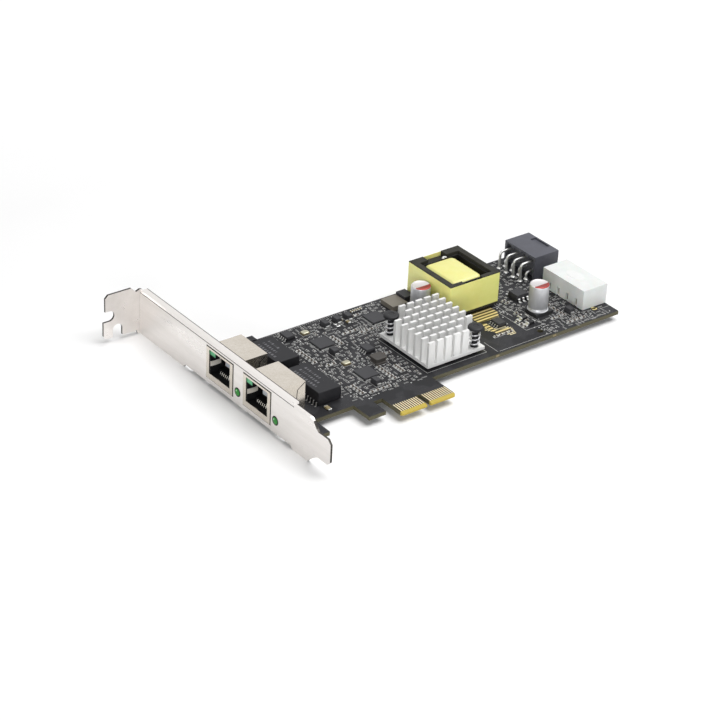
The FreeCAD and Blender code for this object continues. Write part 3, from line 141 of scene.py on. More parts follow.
def place(tree: Tree, stretch: Triple = (1, 1, 1), turn: Triple = (0, 0, 0)) -> Out:
    """Object coordinates, turned and stretched for a pattern with a direction."""
    where = add(tree, "ShaderNodeTexCoord")
    return add(tree, "ShaderNodeMapping", None, {
        "Vector": where.outputs["Object"], "Scale": stretch, "Rotation": turn,
    }).outputs["Vector"]


def speckle(tree: Tree, size_mm: float, detail: float = 3.0, stretch: Triple = (1, 1, 1)) -> Out:
    """A noise whose spots are about size_mm across."""
    return add(tree, "ShaderNodeTexNoise", None, {
        "Vector": place(tree, stretch), "Scale": 1 / (size_mm * MM), "Detail": detail,
    }).outputs["Fac"]


def between(tree: Tree, factor: Out, low: float, high: float,
            start: float = 0.0, end: float = 1.0) -> Out:
    """Map a factor from start..end to low..high, clamped."""
    return add(tree, "ShaderNodeMapRange", None, {
        "Value": factor, "From Min": start, "From Max": end, "To Min": low, "To Max": high,
    }).outputs["Result"]


def tint(tree: Tree, factor: Out, first: Out | str, second: Out | str) -> Out:
    """Mix two colours, each a socket or a hex colour, by a factor."""
    mix = add(tree, "ShaderNodeMix", {"data_type": "RGBA"}, {0: factor})
    for slot, colour in ((6, first), (7, second)):
        if isinstance(colour, str):
            mix.inputs[slot].default_value = linear(colour)
        else:
            tree.links.new(colour, mix.inputs[slot])
    return mix.outputs[2]


def maths(tree: Tree, operation: str, *values: Out | float) -> Out:
    """One step of arithmetic on sockets and numbers."""
    return add(tree, "ShaderNodeMath", {"operation": operation}, dict(enumerate(values))).outputs[0]


def axes(tree: Tree, space: str = "Object") -> bpy.types.NodeOutputs:
    """X, Y and Z of the shaded point, or of its normal, as sockets by name."""
    where = add(tree, "ShaderNodeTexCoord")
    return add(tree, "ShaderNodeSeparateXYZ", None, {0: where.outputs[space]}).outputs


def waves(tree: Tree, axis: Axis, band_mm: float, distortion: float, detail: float) -> Out:
    """Bands and gaps in turn along an axis, each band_mm wide."""
    return add(tree, "ShaderNodeTexWave", {"bands_direction": axis.value}, {
        "Vector": place(tree), "Scale": WAVE_PERIOD / (band_mm * MM) / 2, "Distortion": distortion,
        "Detail": detail,
    }).outputs["Fac"]


def rays(tree: Tree, *kinds: str) -> Out:
    """1 for light rays of the given kinds, else 0."""
    paths = add(tree, "ShaderNodeLightPath")
    return reduce(partial(maths, tree, "MAXIMUM"), [paths.outputs[f"Is {kind} Ray"] for kind in kinds])


# --------------------------------------------------------------------------- finishes


@dataclass(frozen=True)
class Finish:
    """A real material with a fine pattern in its colour, its gloss and its surface.

    The pattern is a noise of grain_mm spots, stretched along the grain; it turns colour to shade,
    moves the roughness by gloss_change, and lifts the surface by relief_mm.
    """

    name: str
    colour: str
    shade: str
    roughness: float = 0.4
    gloss_change: float = 0.12
    metallic: float = 0.0
    grain_mm: float = 0.5
    stretch: Triple = (1, 1, 1)
    relief_mm: float = 0.01
    relief_strength: float = 0.3
    coat: float = 0.0
    subsurface: float = 0.0
    specular: float = 0.5

    def material(self) -> bpy.types.Material:
        """The Blender material, made once and then reused."""
        made = bpy.data.materials.get(self.name)
        if made is None:
            made = bpy.data.materials.new(self.name)
            made.use_nodes = True
            shader = made.node_tree.nodes["Principled BSDF"]
            for slot, value in (
                ("Metallic", self.metallic),
                ("Specular IOR Level", self.specular),
                ("Coat Weight", self.coat),
                ("Subsurface Weight", self.subsurface),
                ("Subsurface Scale", SCATTER_MM * MM),
            ):
                shader.inputs[slot].default_value = value
            self.dress(made.node_tree, shader)
        return made

    def dress(self, tree: Tree, shader: Node) -> None:
        """Link the pattern to the shader's colour, roughness and normal."""
        grain = speckle(tree, self.grain_mm, 4.0, self.stretch)
        broad = speckle(tree, self.grain_mm * BROAD, 2.0, self.stretch)
        mixed = maths(tree, "MULTIPLY_ADD", grain, FINE_SHARE, broad)
        factor = between(tree, mixed, 0, 1, *COLOUR_SPAN)
        tree.links.new(tint(tree, factor, self.colour, self.shade), shader.inputs["Base Color"])
        self.gloss(tree, shader, mixed, *GLOSS_SPAN)
        self.lift(tree, shader, grain)

    def gloss(self, tree: Tree, shader: Node, factor: Out,
              start: float = 0.0, end: float = 1.0) -> None:
        """Let the roughness rise by gloss_change while a factor goes from start to end."""
        rough = between(tree, factor, self.roughness, self.roughness + self.gloss_change, start, end)
        tree.links.new(rough, shader.inputs["Roughness"])

    def lift(self, tree: Tree, shader: Node, height: Out) -> None:
        """Give the surface the relief of a height pattern."""
        bump = add(tree, "ShaderNodeBump", None, {
            "Height": height, "Distance": self.relief_mm * MM, "Strength": self.relief_strength,
        })
        tree.links.new(bump.outputs["Normal"], shader.inputs["Normal"])

    def cover(self, tree: Tree, shader: Node, factor: Out, colour: Out | str) -> None:
        """Lay a colour over the one that the shader has, as far as a factor says."""
        below = shader.inputs["Base Color"].links[0].from_socket
        tree.links.new(tint(tree, factor, below, colour), shader.inputs["Base Color"])


@dataclass(frozen=True)
class SolderMask(Finish):
    """Dark matt mask over copper on glass-epoxy laminate; the sawn edges show the laminate.

    Copper runs lie under the mask as slightly raised, slightly paler bands. The edges are olive,
    with the layers of glass cloth as dark and pale lines. Round the card-edge contacts, and on the
    bevel under them, the laminate is bare.
    """

    run_pitch_mm: float = 1.1
    run_area_mm: float = 9
    run_turn: float = 0.785
    run: str = "#3A3A3D"
    edge: str = "#6A6650"
    edge_line: str = "#403E2F"
    bevel: str = "#B9A447"
    bevel_mm: float = 1.32
    bare_laminate: str = "#33270F"
    contact_area: Pair = (12.4, 6.42)
    layer_mm: float = 0.25

    def below(self, tree: Tree, value: Out, limit_mm: float) -> Out:
        """1 where a coordinate is under a limit, else 0."""
        limit = limit_mm * MM
        return between(tree, value, 1, 0, limit, limit + BORDER_MM * MM)

    def dress(self, tree: Tree, shader: Node) -> None:
        """Mask and copper runs on the faces, glass cloth layers on the edges."""
        runs = add(tree, "ShaderNodeTexBrick", {"offset": 0.35, "squash": 1.6, "squash_frequency": 3}, {
            "Vector": place(tree, (1, 1, 0), (0, 0, self.run_turn)),
            "Scale": 1 / (self.run_pitch_mm * MM), "Mortar Size": 0.12, "Mortar Smooth": 0.3,
            "Brick Width": 7.0, "Row Height": 0.55,
        })
        areas = between(tree, speckle(tree, self.run_area_mm, 1.0), 0, 1, 0.47, 0.53)
        seen = maths(tree, "MULTIPLY", runs.outputs["Fac"], areas)
        grain = speckle(tree, self.grain_mm)
        faces = tint(tree, seen, tint(tree, grain, self.colour, self.shade), self.run)
        laminate = tint(tree, waves(tree, Axis.Z, self.layer_mm, 1.4, 3.0), self.edge, self.edge_line)
        flat = between(tree, maths(tree, "ABSOLUTE", axes(tree, "Normal")["Z"]), 0, 1, 0.3, 0.6)
        spot = axes(tree)
        across, up = self.contact_area
        inside = self.below(tree, maths(tree, "ABSOLUTE", spot["X"]), across)
        unmasked = maths(tree, "MULTIPLY", inside, self.below(tree, spot["Y"], up))
        tree.links.new(tint(tree, flat, laminate, faces), shader.inputs["Base Color"])
        self.cover(tree, shader, maths(tree, "MULTIPLY", unmasked, flat), self.bare_laminate)
        self.cover(tree, shader, self.below(tree, spot["Y"], self.bevel_mm), self.bevel)
        self.gloss(tree, shader, grain)
        self.lift(tree, shader, seen)


@dataclass(frozen=True)
class Striped(Finish):
    """A plated or printed area whose colour alternates in straight bands, as rows of plated slots."""

    band_mm: float = 1.2
    axis: Axis = Axis.X

    def dress(self, tree: Tree, shader: Node) -> None:
        """Bands of the two colours along one axis."""
        factor = between(tree, waves(tree, self.axis, self.band_mm, 0.4, 1.0), 0, 1, 0.35, 0.65)
        tree.links.new(tint(tree, factor, self.colour, self.shade), shader.inputs["Base Color"])
        self.gloss(tree, shader, factor)
        self.lift(tree, shader, factor)


@dataclass(frozen=True)
class EdgeGold(Finish):
    """Hard gold contacts, bright along the middle and brown towards their long borders.

    The contacts stand at every half step of the pitch, so the distance of X / pitch from the
    nearest half is 0 on a contact's middle and grows to its borders.
    """

    pitch_mm: float = 1.0
    border: str = "#3B2C10"
    bright_share: float = 0.17
    border_share: float = 0.06

    def dress(self, tree: Tree, shader: Node) -> None:
        """Colour from the distance to the contact's middle line."""
        super().dress(tree, shader)
        steps = maths(tree, "MULTIPLY", axes(tree)["X"], 1 / (self.pitch_mm * MM))
        offset = maths(tree, "SUBTRACT", maths(tree, "FLOORED_MODULO", steps, 1.0), 0.5)
        start = self.bright_share
        factor = between(tree, maths(tree, "ABSOLUTE", offset), 0, 1, start, start + self.border_share)
        self.cover(tree, shader, factor, self.border)


@dataclass(frozen=True)
class BentSheet(Finish):
    """Plated sheet whose cut edges, not the rolled faces, are painted dark as shade.

    A point of the plate is on a cut edge where its normal has almost no X part, and a point of
    the tab where its normal has almost no Y part. Two dark lines along the bend of the flange are
    painted shade and painted reflection of the bend.
    """

    # colour of the shade painted on the cut edges and along the bend
    painted_edge_shade: str = "#3F3C39"
    plate_outer_mm: float = -55.07
    plate_inner_mm: float = -54.21
    bend_mm: float = 13.48
    flange_end_mm: float = -52.23
    tab_mm: float = 104.4
    flange_y_mm: Pair = (7, 104)
    line_mm: float = 0.32
    slack_mm: float = 0.03

    def band(self, tree: Tree, value: Out, low_mm: float, high_mm: float) -> Out:
        """1 where a coordinate lies between two heights, else 0."""
        above = maths(tree, "GREATER_THAN", value, low_mm * MM)
        return maths(tree, "MULTIPLY", above, maths(tree, "LESS_THAN", value, high_mm * MM))

    def dress(self, tree: Tree, shader: Node) -> None:
        """Painted shade on the cut edges of the plate and the tab, and two painted dark lines along the
        bend.
        """
        super().dress(tree, shader)
        every = partial(reduce, partial(maths, tree, "MULTIPLY"))
        facing, spot = axes(tree, "Normal"), axes(tree)
        x, y, z = (spot[axis.value] for axis in Axis)
        away_x, away_y = (
            between(tree, maths(tree, "ABSOLUTE", facing[axis]), 1, 0, 0.2, 0.4) for axis in "XY")
        outer, slack, line, bend = self.plate_outer_mm, self.slack_mm, self.line_mm, self.bend_mm
        along = self.band(tree, y, *self.flange_y_mm)
        marks = (
            every((away_x, self.band(tree, x, outer - slack, self.plate_inner_mm + slack),
                   self.band(tree, z, -FAR_MM, bend), self.band(tree, y, -FAR_MM, self.tab_mm))),
            every((away_y, self.band(tree, y, self.tab_mm, FAR_MM))),
            every((self.band(tree, x, outer - slack, outer + slack),
                   self.band(tree, z, bend - line, bend), along)),
            every((self.band(tree, x, self.flange_end_mm - line, self.flange_end_mm + slack),
                   self.band(tree, z, bend, FAR_MM), along)),
        )
        # painted shade: the cut edges and the two lines along the bend
        self.cover(tree, shader, reduce(partial(maths, tree, "MAXIMUM"), marks), self.painted_edge_shade)


@dataclass(frozen=True)
class CanTop(Finish):
    """A drawn aluminium can whose top is pale with a red polarity segment on its -Y side."""

    centre: Pair = (0.0, 0.0)
    chord_mm: float = 1.1
    top_mm: float = 12.0
    red: str = "#93342E"
    brushed: tuple[str, str] = ("#D6D2D2", "#BFBBBB")

    def dress(self, tree: Tree, shader: Node) -> None:
        """Brushed and red on the top, bare aluminium on the wall."""
        super().dress(tree, shader)
        spot = axes(tree)
        chord, soft = (self.centre[1] - self.chord_mm) * MM, 0.04 * MM
        below = between(tree, spot["Y"], 1, 0, chord - soft, chord + soft)
        above = between(tree, spot["Z"], 0, 1, (self.top_mm - 0.35) * MM, (self.top_mm - 0.28) * MM)
        strokes = speckle(tree, 0.5, 3.0, (0.15, 1, 1))
        self.cover(tree, shader, above, tint(tree, strokes, *self.brushed))
        self.cover(tree, shader, maths(tree, "MULTIPLY", below, above), self.red)


# Matt photo-imaged mask on glass-epoxy: fine orange peel, copper runs as faint paler bands.
MASK = SolderMask("solder_mask_matt", "#1C1C1E", "#252528", 0.42, 0.14, grain_mm=0.35, relief_mm=0.02,
                  specular=0.16)
# Hard gold over nickel on the card edge: smooth, with faint rubbing along the insertion direction.
EDGE_GOLD = EdgeGold("hard_gold_contacts", "#FFF6D8", "#F5E6B4", 0.24, 0.15, 0.6, 0.3, (6, 1, 1), 0.004)
# Gold plate of the bars in front of the bridge.
GOLD = Finish("gold_plated_bronze", "#F6EBC8", "#E9D9A0", 0.24, 0.15, 0.5, 0.3, (6, 1, 1), 0.004)
# Gold-flashed phosphor bronze of the sockets' contact wires.
CONTACT_WIRE = Finish("gold_flashed_wire", "#FFFDF6", "#F4EEDD", 0.22, 0.12, 0.25, 0.2, relief_mm=0.003,
                      specular=0.8)
# Flat immersion gold with rows of plated slots: gold and dark mask in turn.
GOLD_SLOTS = Striped("immersion_gold_slots", "#4A3F1E", "#DCC98C", 0.3, 0.2, 0.4, relief_mm=0.02,
                     band_mm=0.85, axis=Axis.Y)
# Cold-rolled steel, bright nickel plate: a soft even sheen with a faint rolling grain along the card.
# # Its cut edges and two lines along the bend are painted dark as shade.
BRACKET_NICKEL = BentSheet("nickel_plated_steel", "#E9E5E2", "#DFDBD7", 0.26, 0.12, 0.75, 0.25,
                           (1, 0.08, 1), 0.003, 0.2)
# Drawn shell, tin-nickel plate: warmer and a little smudged.
SHELL_NICKEL = Finish("tin_nickel_shell", "#DAD3C9", "#CCC4B8", 0.13, 0.1, 0.9, 0.9, (1, 1, 1),
                      0.004, 0.2)
# Tinned spring fingers inside the shell's mouth, satin.
FINGER_TIN = Finish("satin_tinned_finger", "#E4DFD6", "#D2CCC1", 0.35, 0.15, 0.35, 0.5, relief_mm=0.003)
# Glass-filled PBT, moulded: near-black with a fine matt texture. It is also the black of the strips
# # painted as shadow in the gap round each shell, and of the comb block that stands in for shade.
BLACK_PBT = Finish("black_pbt_moulded", "#0C0C0D", "#131315", 0.5, 0.15, grain_mm=0.15, specular=0.15)
# Clear green epoxy of a lit indicator, cast smooth.
GREEN_EPOXY = Finish("green_epoxy_lens", "#116B1A", "#1B7F24", 0.15, 0.1, grain_mm=0.8, relief_mm=0.003,
                     specular=0.4)
# A pale green disc on each lens, a painted highlight.
PAINTED_LENS_GLINT = Finish("painted_lens_highlight", "#A5E0A8", "#8FD393", 0.2, 0.1, grain_mm=0.4, relief_mm=0.002)
# Frosted green light pipe in the socket's corner.
GREEN_PIPE = Finish("green_light_pipe", "#4C9A6A", "#62AD80", 0.35, 0.1, grain_mm=0.6, subsurface=0.2,
                    specular=0.3)
# Frosted clear light pipe.
CLEAR_PIPE = Finish("clear_light_pipe", "#77797D", "#9A9CA0", 0.3, 0.1, grain_mm=0.6, subsurface=0.2,
                    specular=0.3)
# Transfer-moulded epoxy package: dark gray, sand-like texture from the tool.
EPOXY_MOULD = Finish("moulded_epoxy_package", "#2B2B2E", "#343437", 0.5, 0.12, grain_mm=0.12,
                     relief_mm=0.008, specular=0.35)
# The magnetics' larger moulded case: smoother, with broad soft shine.
MODULE_MOULD = Finish("moulded_module_case", "#1E1E21", "#262629", 0.45, 0.14, grain_mm=0.2,
                      relief_mm=0.008, specular=0.2)
# Matt tin on copper alloy leads.
TIN = Finish("matt_tin_leads", "#DCDCDA", "#BEBEBD", 0.28, 0.18, 0.9, 0.25, (1, 1, 1), 0.006)
# Solder and thick-film end caps, bright where it wetted.
SOLDER = Finish("reflowed_solder", "#E6E6E4", "#BDBDBC", 0.22, 0.2, 0.9, 0.3, (1, 1, 1), 0.02, 0.5)
# Extruded and cross-cut aluminium, clear anodised: pale satin with saw lines up the pins.
SINK_METAL = Finish("clear_anodised_aluminium", "#ECECEB", "#DADAD9", 0.38, 0.16, 0.3, 0.3, (1, 1, 0.1),
                    0.01, 0.4)
# Silicone gap pad, gray-pink and dull.
GAP_PAD = Finish("silicone_gap_pad", "#8B8489", "#9A9297", 0.7, 0.1, grain_mm=0.3)
# Black nylon push pin.
BLACK_NYLON = Finish("black_nylon_moulded", "#141417", "#1D1D20", 0.42, 0.14, grain_mm=0.25,
                     specular=0.3)
# Bright drawn spring steel.
SPRING_WIRE = Finish("bright_spring_steel", "#D2D2D4", "#A9A9AC", 0.22, 0.15, 0.9, 0.2, relief_mm=0.003)
# Pressed and sintered manganese-zinc ferrite: dark gray with a dry open grain.
FERRITE = Finish("sintered_ferrite", "#302F29", "#262621", 0.65, 0.15, grain_mm=0.18, relief_mm=0.03,
                 relief_strength=0.5, specular=0.25)
# Polyester film tape over the core: glossy yellow, slightly wrinkled.
TAPE = Finish("yellow_polyester_tape", "#F3EF96", "#ECE886", 0.3, 0.12, grain_mm=2.2, relief_mm=0.04,
              relief_strength=0.35, coat=0.15, subsurface=0.1)
# The same tape on the winding, over soft wire: paler and more crumpled.
WINDING_TAPE = Finish("yellow_tape_on_winding", "#E4E094", "#DEDB80", 0.36, 0.12, grain_mm=3.0,
                      relief_mm=0.1, relief_strength=0.4, coat=0.15, subsurface=0.1)
# The white header's pins: dark brown, with paler spots.
DARK_BROWN_PINS = Finish("dark_brown_header_pins", "#6E5836", "#A08A60", 0.3, 0.15, 0.7, 0.4, relief_mm=0.004)
# Phenolic bobbin, dark.
PHENOLIC = Finish("phenolic_bobbin", "#151514", "#1E1E1C", 0.55, 0.1, grain_mm=0.3, specular=0.25)
# Drawn aluminium capacitor can with a clear film.
CAN = Finish("drawn_aluminium_can", "#D2D3D6", "#C2C3C6", 0.34, 0.12, 0.6, 0.3, (1, 1, 0.1), 0.004, 0.2)
# The capacitor's dark base plate.
CAN_BASE = Finish("capacitor_base_plastic", "#262628", "#2E2E30", 0.45, 0.1, grain_mm=0.3, specular=0.3)
# Dark gray nylon header, moulded satin.
GRAY_NYLON = Finish("gray_nylon_header", "#4A4B52", "#55565E", 0.45, 0.14, grain_mm=0.2, specular=0.3)
# Natural white nylon header, slightly translucent.
WHITE_NYLON = Finish("white_nylon_header", "#E0E3E1", "#D8DBD9", 0.45, 0.12, grain_mm=0.3,
                     subsurface=0.12)
# Matt paper label.
PAPER = Finish("matt_paper_label", "#E6E7E6", "#DFE0DF", 0.8, 0.1, grain_mm=0.15)
# Epoxy silk-screen ink, thin and matt.
INK = Finish("screen_printed_ink", "#C9C9C6", "#B3B3B1", 0.7, 0.1, grain_mm=0.2)
# Pale tool marks on the module cases, laser-burnt.
LASER = Finish("laser_burnt_mark", "#66666A", "#5A5A5E", 0.7, 0.1, grain_mm=0.2)
# Wound inductor: ferrite with brown resin over its wire.
COIL_RESIN = Finish("dark_resin_inductor", "#2B2825", "#38332E", 0.5, 0.14, grain_mm=0.3,
                    relief_mm=0.04)
# Tall multilayer ceramic block.
CERAMIC_BEIGE = Finish("beige_ceramic_block", "#6E695F", "#7A7469", 0.45, 0.12, grain_mm=0.25)
# Multilayer ceramic capacitor bodies: tan, dry, unglazed.
CERAMIC_TAN = Finish("tan_ceramic_body", "#5E554B", "#4C443C", 0.5, 0.12, grain_mm=0.2)
# The paler ceramic of the few larger chip capacitors.
CHIP_TAN = Finish("pale_tan_ceramic", "#8F8262", "#7C7050", 0.5, 0.12, grain_mm=0.2)
# Thick-film resistor: black glass over white ceramic.
RESISTOR_GLASS = Finish("black_resistor_glass", "#141416", "#1D1D20", 0.3, 0.15, grain_mm=0.25)
# Crystal's kovar lid, nickel plated.
KOVAR_LID = Finish("nickel_kovar_lid", "#BDBAA6", "#A9A691", 0.24, 0.12, 0.8, 0.5, relief_mm=0.003)
# Brown ceramic base under a crystal's lid.
CERAMIC_BASE = Finish("brown_ceramic_base", "#6E6344", "#5B5138", 0.5, 0.1, grain_mm=0.3)


# --------------------------------------------------------------------------- mesh helpers


def put(name: str, data: bpy.types.ID) -> bpy.types.Object:
    """A new object of the given mesh, light or camera, in the scene."""
    item = bpy.data.objects.new(name, data)
    bpy.context.scene.collection.objects.link(item)
    return item


class Shape:
    """A mesh in the making: vertex and face arrays are added, then handed to Blender in metres."""

    def __init__(self) -> None:
        """Start empty."""
        self.points: list[np.ndarray] = []
        self.faces: list[tuple[int, ...]] = []
        self.count = 0

    def add(self, points: np.ndarray, faces: list) -> Shape:
        """Join more vertices (in mm) and faces that index them from zero.

        Args:
            points: n rows of X, Y, Z.
            faces: index rows, any number of corners each.

        Returns:
            The shape itself, so that calls can be chained.
        """
        self.points.append(points)
        self.faces += [tuple(int(corner) + self.count for corner in face) for face in faces]
        self.count += len(points)
        return self

    def piece(self, name: str, finish: Finish, smooth: float = 0.0,
              stands_for: tuple[str, ...] = ()) -> None:
        """Make the Blender object, dress it, and let it ride on the card.

        Args:
            name: the object's name.
            finish: its finish.
            smooth: angle in degrees under which edges shade smooth; 0 keeps every face flat.
            stands_for: CAD nodes that it replaces.
        """
        mesh = bpy.data.meshes.new(name)
        mesh.from_pydata((np.concatenate(self.points) * MM).tolist(), [], self.faces)
        mesh.update()
        if smooth:
            mesh.shade_smooth()
            mesh.set_sharp_from_angle(angle=np.radians(smooth))
        item = put(name, mesh)
        mesh.materials.append(finish.material())
        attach(item, BODY)
        if stands_for:
            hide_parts(*stands_for)
        LOG.info("%s: %d faces", name, len(self.faces))


def rings_to_faces(rings: int, steps: int, closed: bool = False) -> list:
    """Faces of a grid of rings: quads between neighbours, and an n-gon over each end.

    Vertex (i, j) is number i * steps + j. Rings run counter-clockwise seen from the last ring.

    Args:
        rings: number of rings.
        steps: vertices in each ring.
        closed: whether the last ring joins the first, instead of end caps.

    Returns:
        Faces that point outwards.
    """
    index = np.arange(rings * steps).reshape(rings, steps)
    nearer = index if closed else index[:-1]
    farther = np.roll(index, -1, 0) if closed else index[1:]
    quads = np.stack([nearer, np.roll(nearer, -1, 1), np.roll(farther, -1, 1), farther], -1)
    caps = [] if closed else [index[0][::-1].tolist(), index[-1].tolist()]
    return quads.reshape(-1, 4).tolist() + caps


def stacked(outline: np.ndarray, levels: list[Pair]) -> Mesh:
    """An upright solid from one outline, drawn in by an inset at each height.

    The outline's point p with unit corner normal n becomes p - inset * n, at height z, for each
    level (z, inset).

    Args:
        outline: m rows of X, Y, counter-clockwise.
        levels: height and inset pairs, upwards.

    Returns:
        Vertices and faces.
    """
    ahead = np.roll(outline, -1, 0) - outline
    ahead /= np.linalg.norm(ahead, axis=1, keepdims=True)
    behind = np.roll(ahead, 1, 0)
    normals = np.stack([ahead[:, 1] + behind[:, 1], -ahead[:, 0] - behind[:, 0]], 1)
    normals /= np.maximum((normals ** 2).sum(1, keepdims=True) / 2, 0.3)
    heights, insets = np.array(levels, float).T
    flat = outline[None] - insets[:, None, None] * normals[None]
    points = np.concatenate([flat, np.broadcast_to(heights[:, None, None], flat.shape[:2] + (1,))], 2)
    return points.reshape(-1, 3), rings_to_faces(len(levels), len(outline))


def rounded(low: np.ndarray, high: np.ndarray, radius: float, steps: int) -> np.ndarray:
    """A rectangle with rounded corners: each corner a quarter circle of steps points."""
    (left, front), (right, back) = low[:2], high[:2]
    centres = np.array([(right, back), (left, back), (left, front), (right, front)], float)
    centres += radius * np.array([(-1, -1), (1, -1), (1, 1), (-1, 1)])
    angles = np.radians(np.arange(4)[:, None] * 90 + np.linspace(0, 90, steps)[None])
    around = np.stack([np.cos(angles), np.sin(angles)], -1)
    return (centres[:, None] + radius * around).reshape(-1, 2)


def moulded(low: np.ndarray, high: np.ndarray, radius: float, steps: int, levels: list[Pair]) -> Mesh:
    """An upright rounded box between two corners, drawn in by an inset at each height.

    Args:
        low: lowest corner; only X and Y are read.
        high: highest corner.
        radius: radius of the upright edges.
        steps: points in each corner.
        levels: height and inset pairs, upwards.

    Returns:
        Vertices and faces.
    """
    return stacked(rounded(low, high, radius, steps), levels)


def at_height(rows: np.ndarray, height: float) -> np.ndarray:
    """The first two columns of some rows, with one height for all as the third."""
    return np.column_stack([rows[:, :2], np.full(len(rows), height)])


def strip(wide: float, thick: float) -> np.ndarray:
    """The section of a flat strip, from its half width and half thickness."""
    return np.array([(-wide, -thick), (wide, -thick), (wide, thick), (-wide, thick)])


def wire(radius: float, steps: int) -> np.ndarray:
    """The section of a round wire."""
    angles = np.linspace(0, 2 * np.pi, steps, endpoint=False)
    return radius * np.column_stack([np.cos(angles), np.sin(angles)])


def pillow(low: np.ndarray, high: np.ndarray, radius: float, levels: list[Pair],
           steps: int = 7) -> Mesh:
    """A rounded rectangle drawn in by an inset at each height, its corner radius shrinking with it.

    Args:
        low: lowest corner; only X and Y are read.
        high: highest corner.
        radius: corner radius at no inset.
        levels: height and inset pairs, upwards.
        steps: points in each corner.

    Returns:
        Vertices and faces.
    """
    rings = []
    for z, inset in levels:
        outline = rounded(low + inset, high - inset, max(radius - inset, 0.3), steps)
        rings.append(at_height(outline, z))
    return np.concatenate(rings), rings_to_faces(len(rings), 4 * steps)


def turned(profile: list[Pair], centre: Triple, steps: int = 32, axis: Axis = Axis.Z) -> Mesh:
    """A turned solid: the point (r, h) of the profile sweeps the circle r * (cos t, sin t) at height h.

    Args:
        profile: radius and height pairs, upwards; ends are closed with flat caps.
        centre: the axis's foot.
        steps: vertices around.
        axis: the axis that the heights run along.

    Returns:
        Vertices and faces.
    """
    radii, heights = np.array(profile, float).T
    angles = np.linspace(0, 2 * np.pi, steps, endpoint=False)
    across = radii[:, None] * np.cos(angles)
    along = radii[:, None] * np.sin(angles)
    up = np.broadcast_to(heights[:, None], across.shape)
    order = {Axis.X: (up, across, along), Axis.Y: (along, up, across), Axis.Z: (across, along, up)}
    points = np.stack(order[axis], -1).reshape(-1, 3) + np.array(centre)
    return points, rings_to_faces(len(profile), steps)


def swept(section: np.ndarray, path: np.ndarray, across: Triple) -> Mesh:
    """A section carried along a path that stays square to one fixed direction.

    At path point p with tangent t, the section point (a, b) becomes p + a * s + b * (s x t), where
    s is the fixed direction.

    Args:
        section: m rows, counter-clockwise.
        path: n rows of X, Y, Z.
        across: the fixed unit direction.

    Returns:
        Vertices and faces, closed at both ends.
    """
    tangents = np.gradient(path, axis=0)
    tangents /= np.linalg.norm(tangents, axis=1, keepdims=True)
    side = np.array(across, float)
    lift = np.cross(tangents, side)
    points = path[:, None] + section[None, :, :1] * side - section[None, :, 1:] * lift[:, None]
    faces = rings_to_faces(len(path), len(section))
    return points.reshape(-1, 3), [face[::-1] for face in faces]


def arc_path(corners: np.ndarray, radius: float, steps: int = 6) -> np.ndarray:
    """A polyline with each inner corner c turned into the curve (1-t)^2 a + 2t(1-t) c + t^2 b.

    a and b lie radius before and after the corner.
    """
    before = corners[:-2] - corners[1:-1]
    after = corners[2:] - corners[1:-1]
    start = corners[1:-1] + radius * before / np.linalg.norm(before, axis=1, keepdims=True)
    end = corners[1:-1] + radius * after / np.linalg.norm(after, axis=1, keepdims=True)
    t = np.linspace(0, 1, steps)[None, :, None]
    bends = (1 - t) ** 2 * start[:, None] + 2 * t * (1 - t) * corners[1:-1, None]
    bends = bends + t ** 2 * end[:, None]
    return np.concatenate([corners[:1], bends.reshape(-1, 3), corners[-1:]])


CORNERS = np.array([(x, y, z) for x in (-1, 1) for y in (-1, 1) for z in (-1, 1)], float)
BOX_CORNERS = np.array([(-1, -1, -1), (1, -1, -1), (1, 1, -1), (-1, 1, -1), (-1, -1, 1), (1, -1, 1),
                        (1, 1, 1), (-1, 1, 1)], float)
BOX_FACES = np.array([(3, 2, 1, 0), (4, 5, 6, 7), (0, 1, 5, 4), (1, 2, 6, 5), (2, 3, 7, 6),
                      (3, 0, 4, 7)])


def chamfer_template() -> tuple[np.ndarray, np.ndarray, list]:
    """Signs, full-size masks and faces of a box whose 12 edges are chamfered.

    Each of the 8 corners gives 3 vertices, one at full size along each axis and drawn in along the
    other two.
    """
    signs = np.repeat(CORNERS, 3, 0)
    full = np.tile(np.eye(3), (8, 1))
    number = {tuple(corner): 3 * place for place, corner in enumerate(CORNERS)}
    faces = []
    for axis in range(3):
        first, second = [other for other in range(3) if other != axis]
        for sign in (-1, 1):
            corner = np.zeros((4, 3))
            corner[:, axis] = sign
            corner[:, first] = (-1, 1, 1, -1)
            corner[:, second] = (-1, -1, 1, 1)
            faces.append([number[tuple(row)] + axis for row in corner])
        for one in (-1, 1):
            for two in (-1, 1):
                ends = np.zeros((2, 3))
                ends[:, axis] = (-1, 1)
                ends[:, first] = one
                ends[:, second] = two
                low, high = (number[tuple(row)] for row in ends)
                faces.append([low + first, low + second, high + second, high + first])
    faces += [[3 * corner, 3 * corner + 1, 3 * corner + 2] for corner in range(8)]
    sample = signs * (0.8 + 0.2 * full)
    outwards = []
    for face in faces:
        middle = sample[face].mean(0)
        normal = np.cross(sample[face[1]] - sample[face[0]], sample[face[2]] - sample[face[1]])
        outwards.append(face if normal @ middle > 0 else face[::-1])
    return signs, full, outwards


SIGNS, FULL, CHAMFER_FACES = chamfer_template()


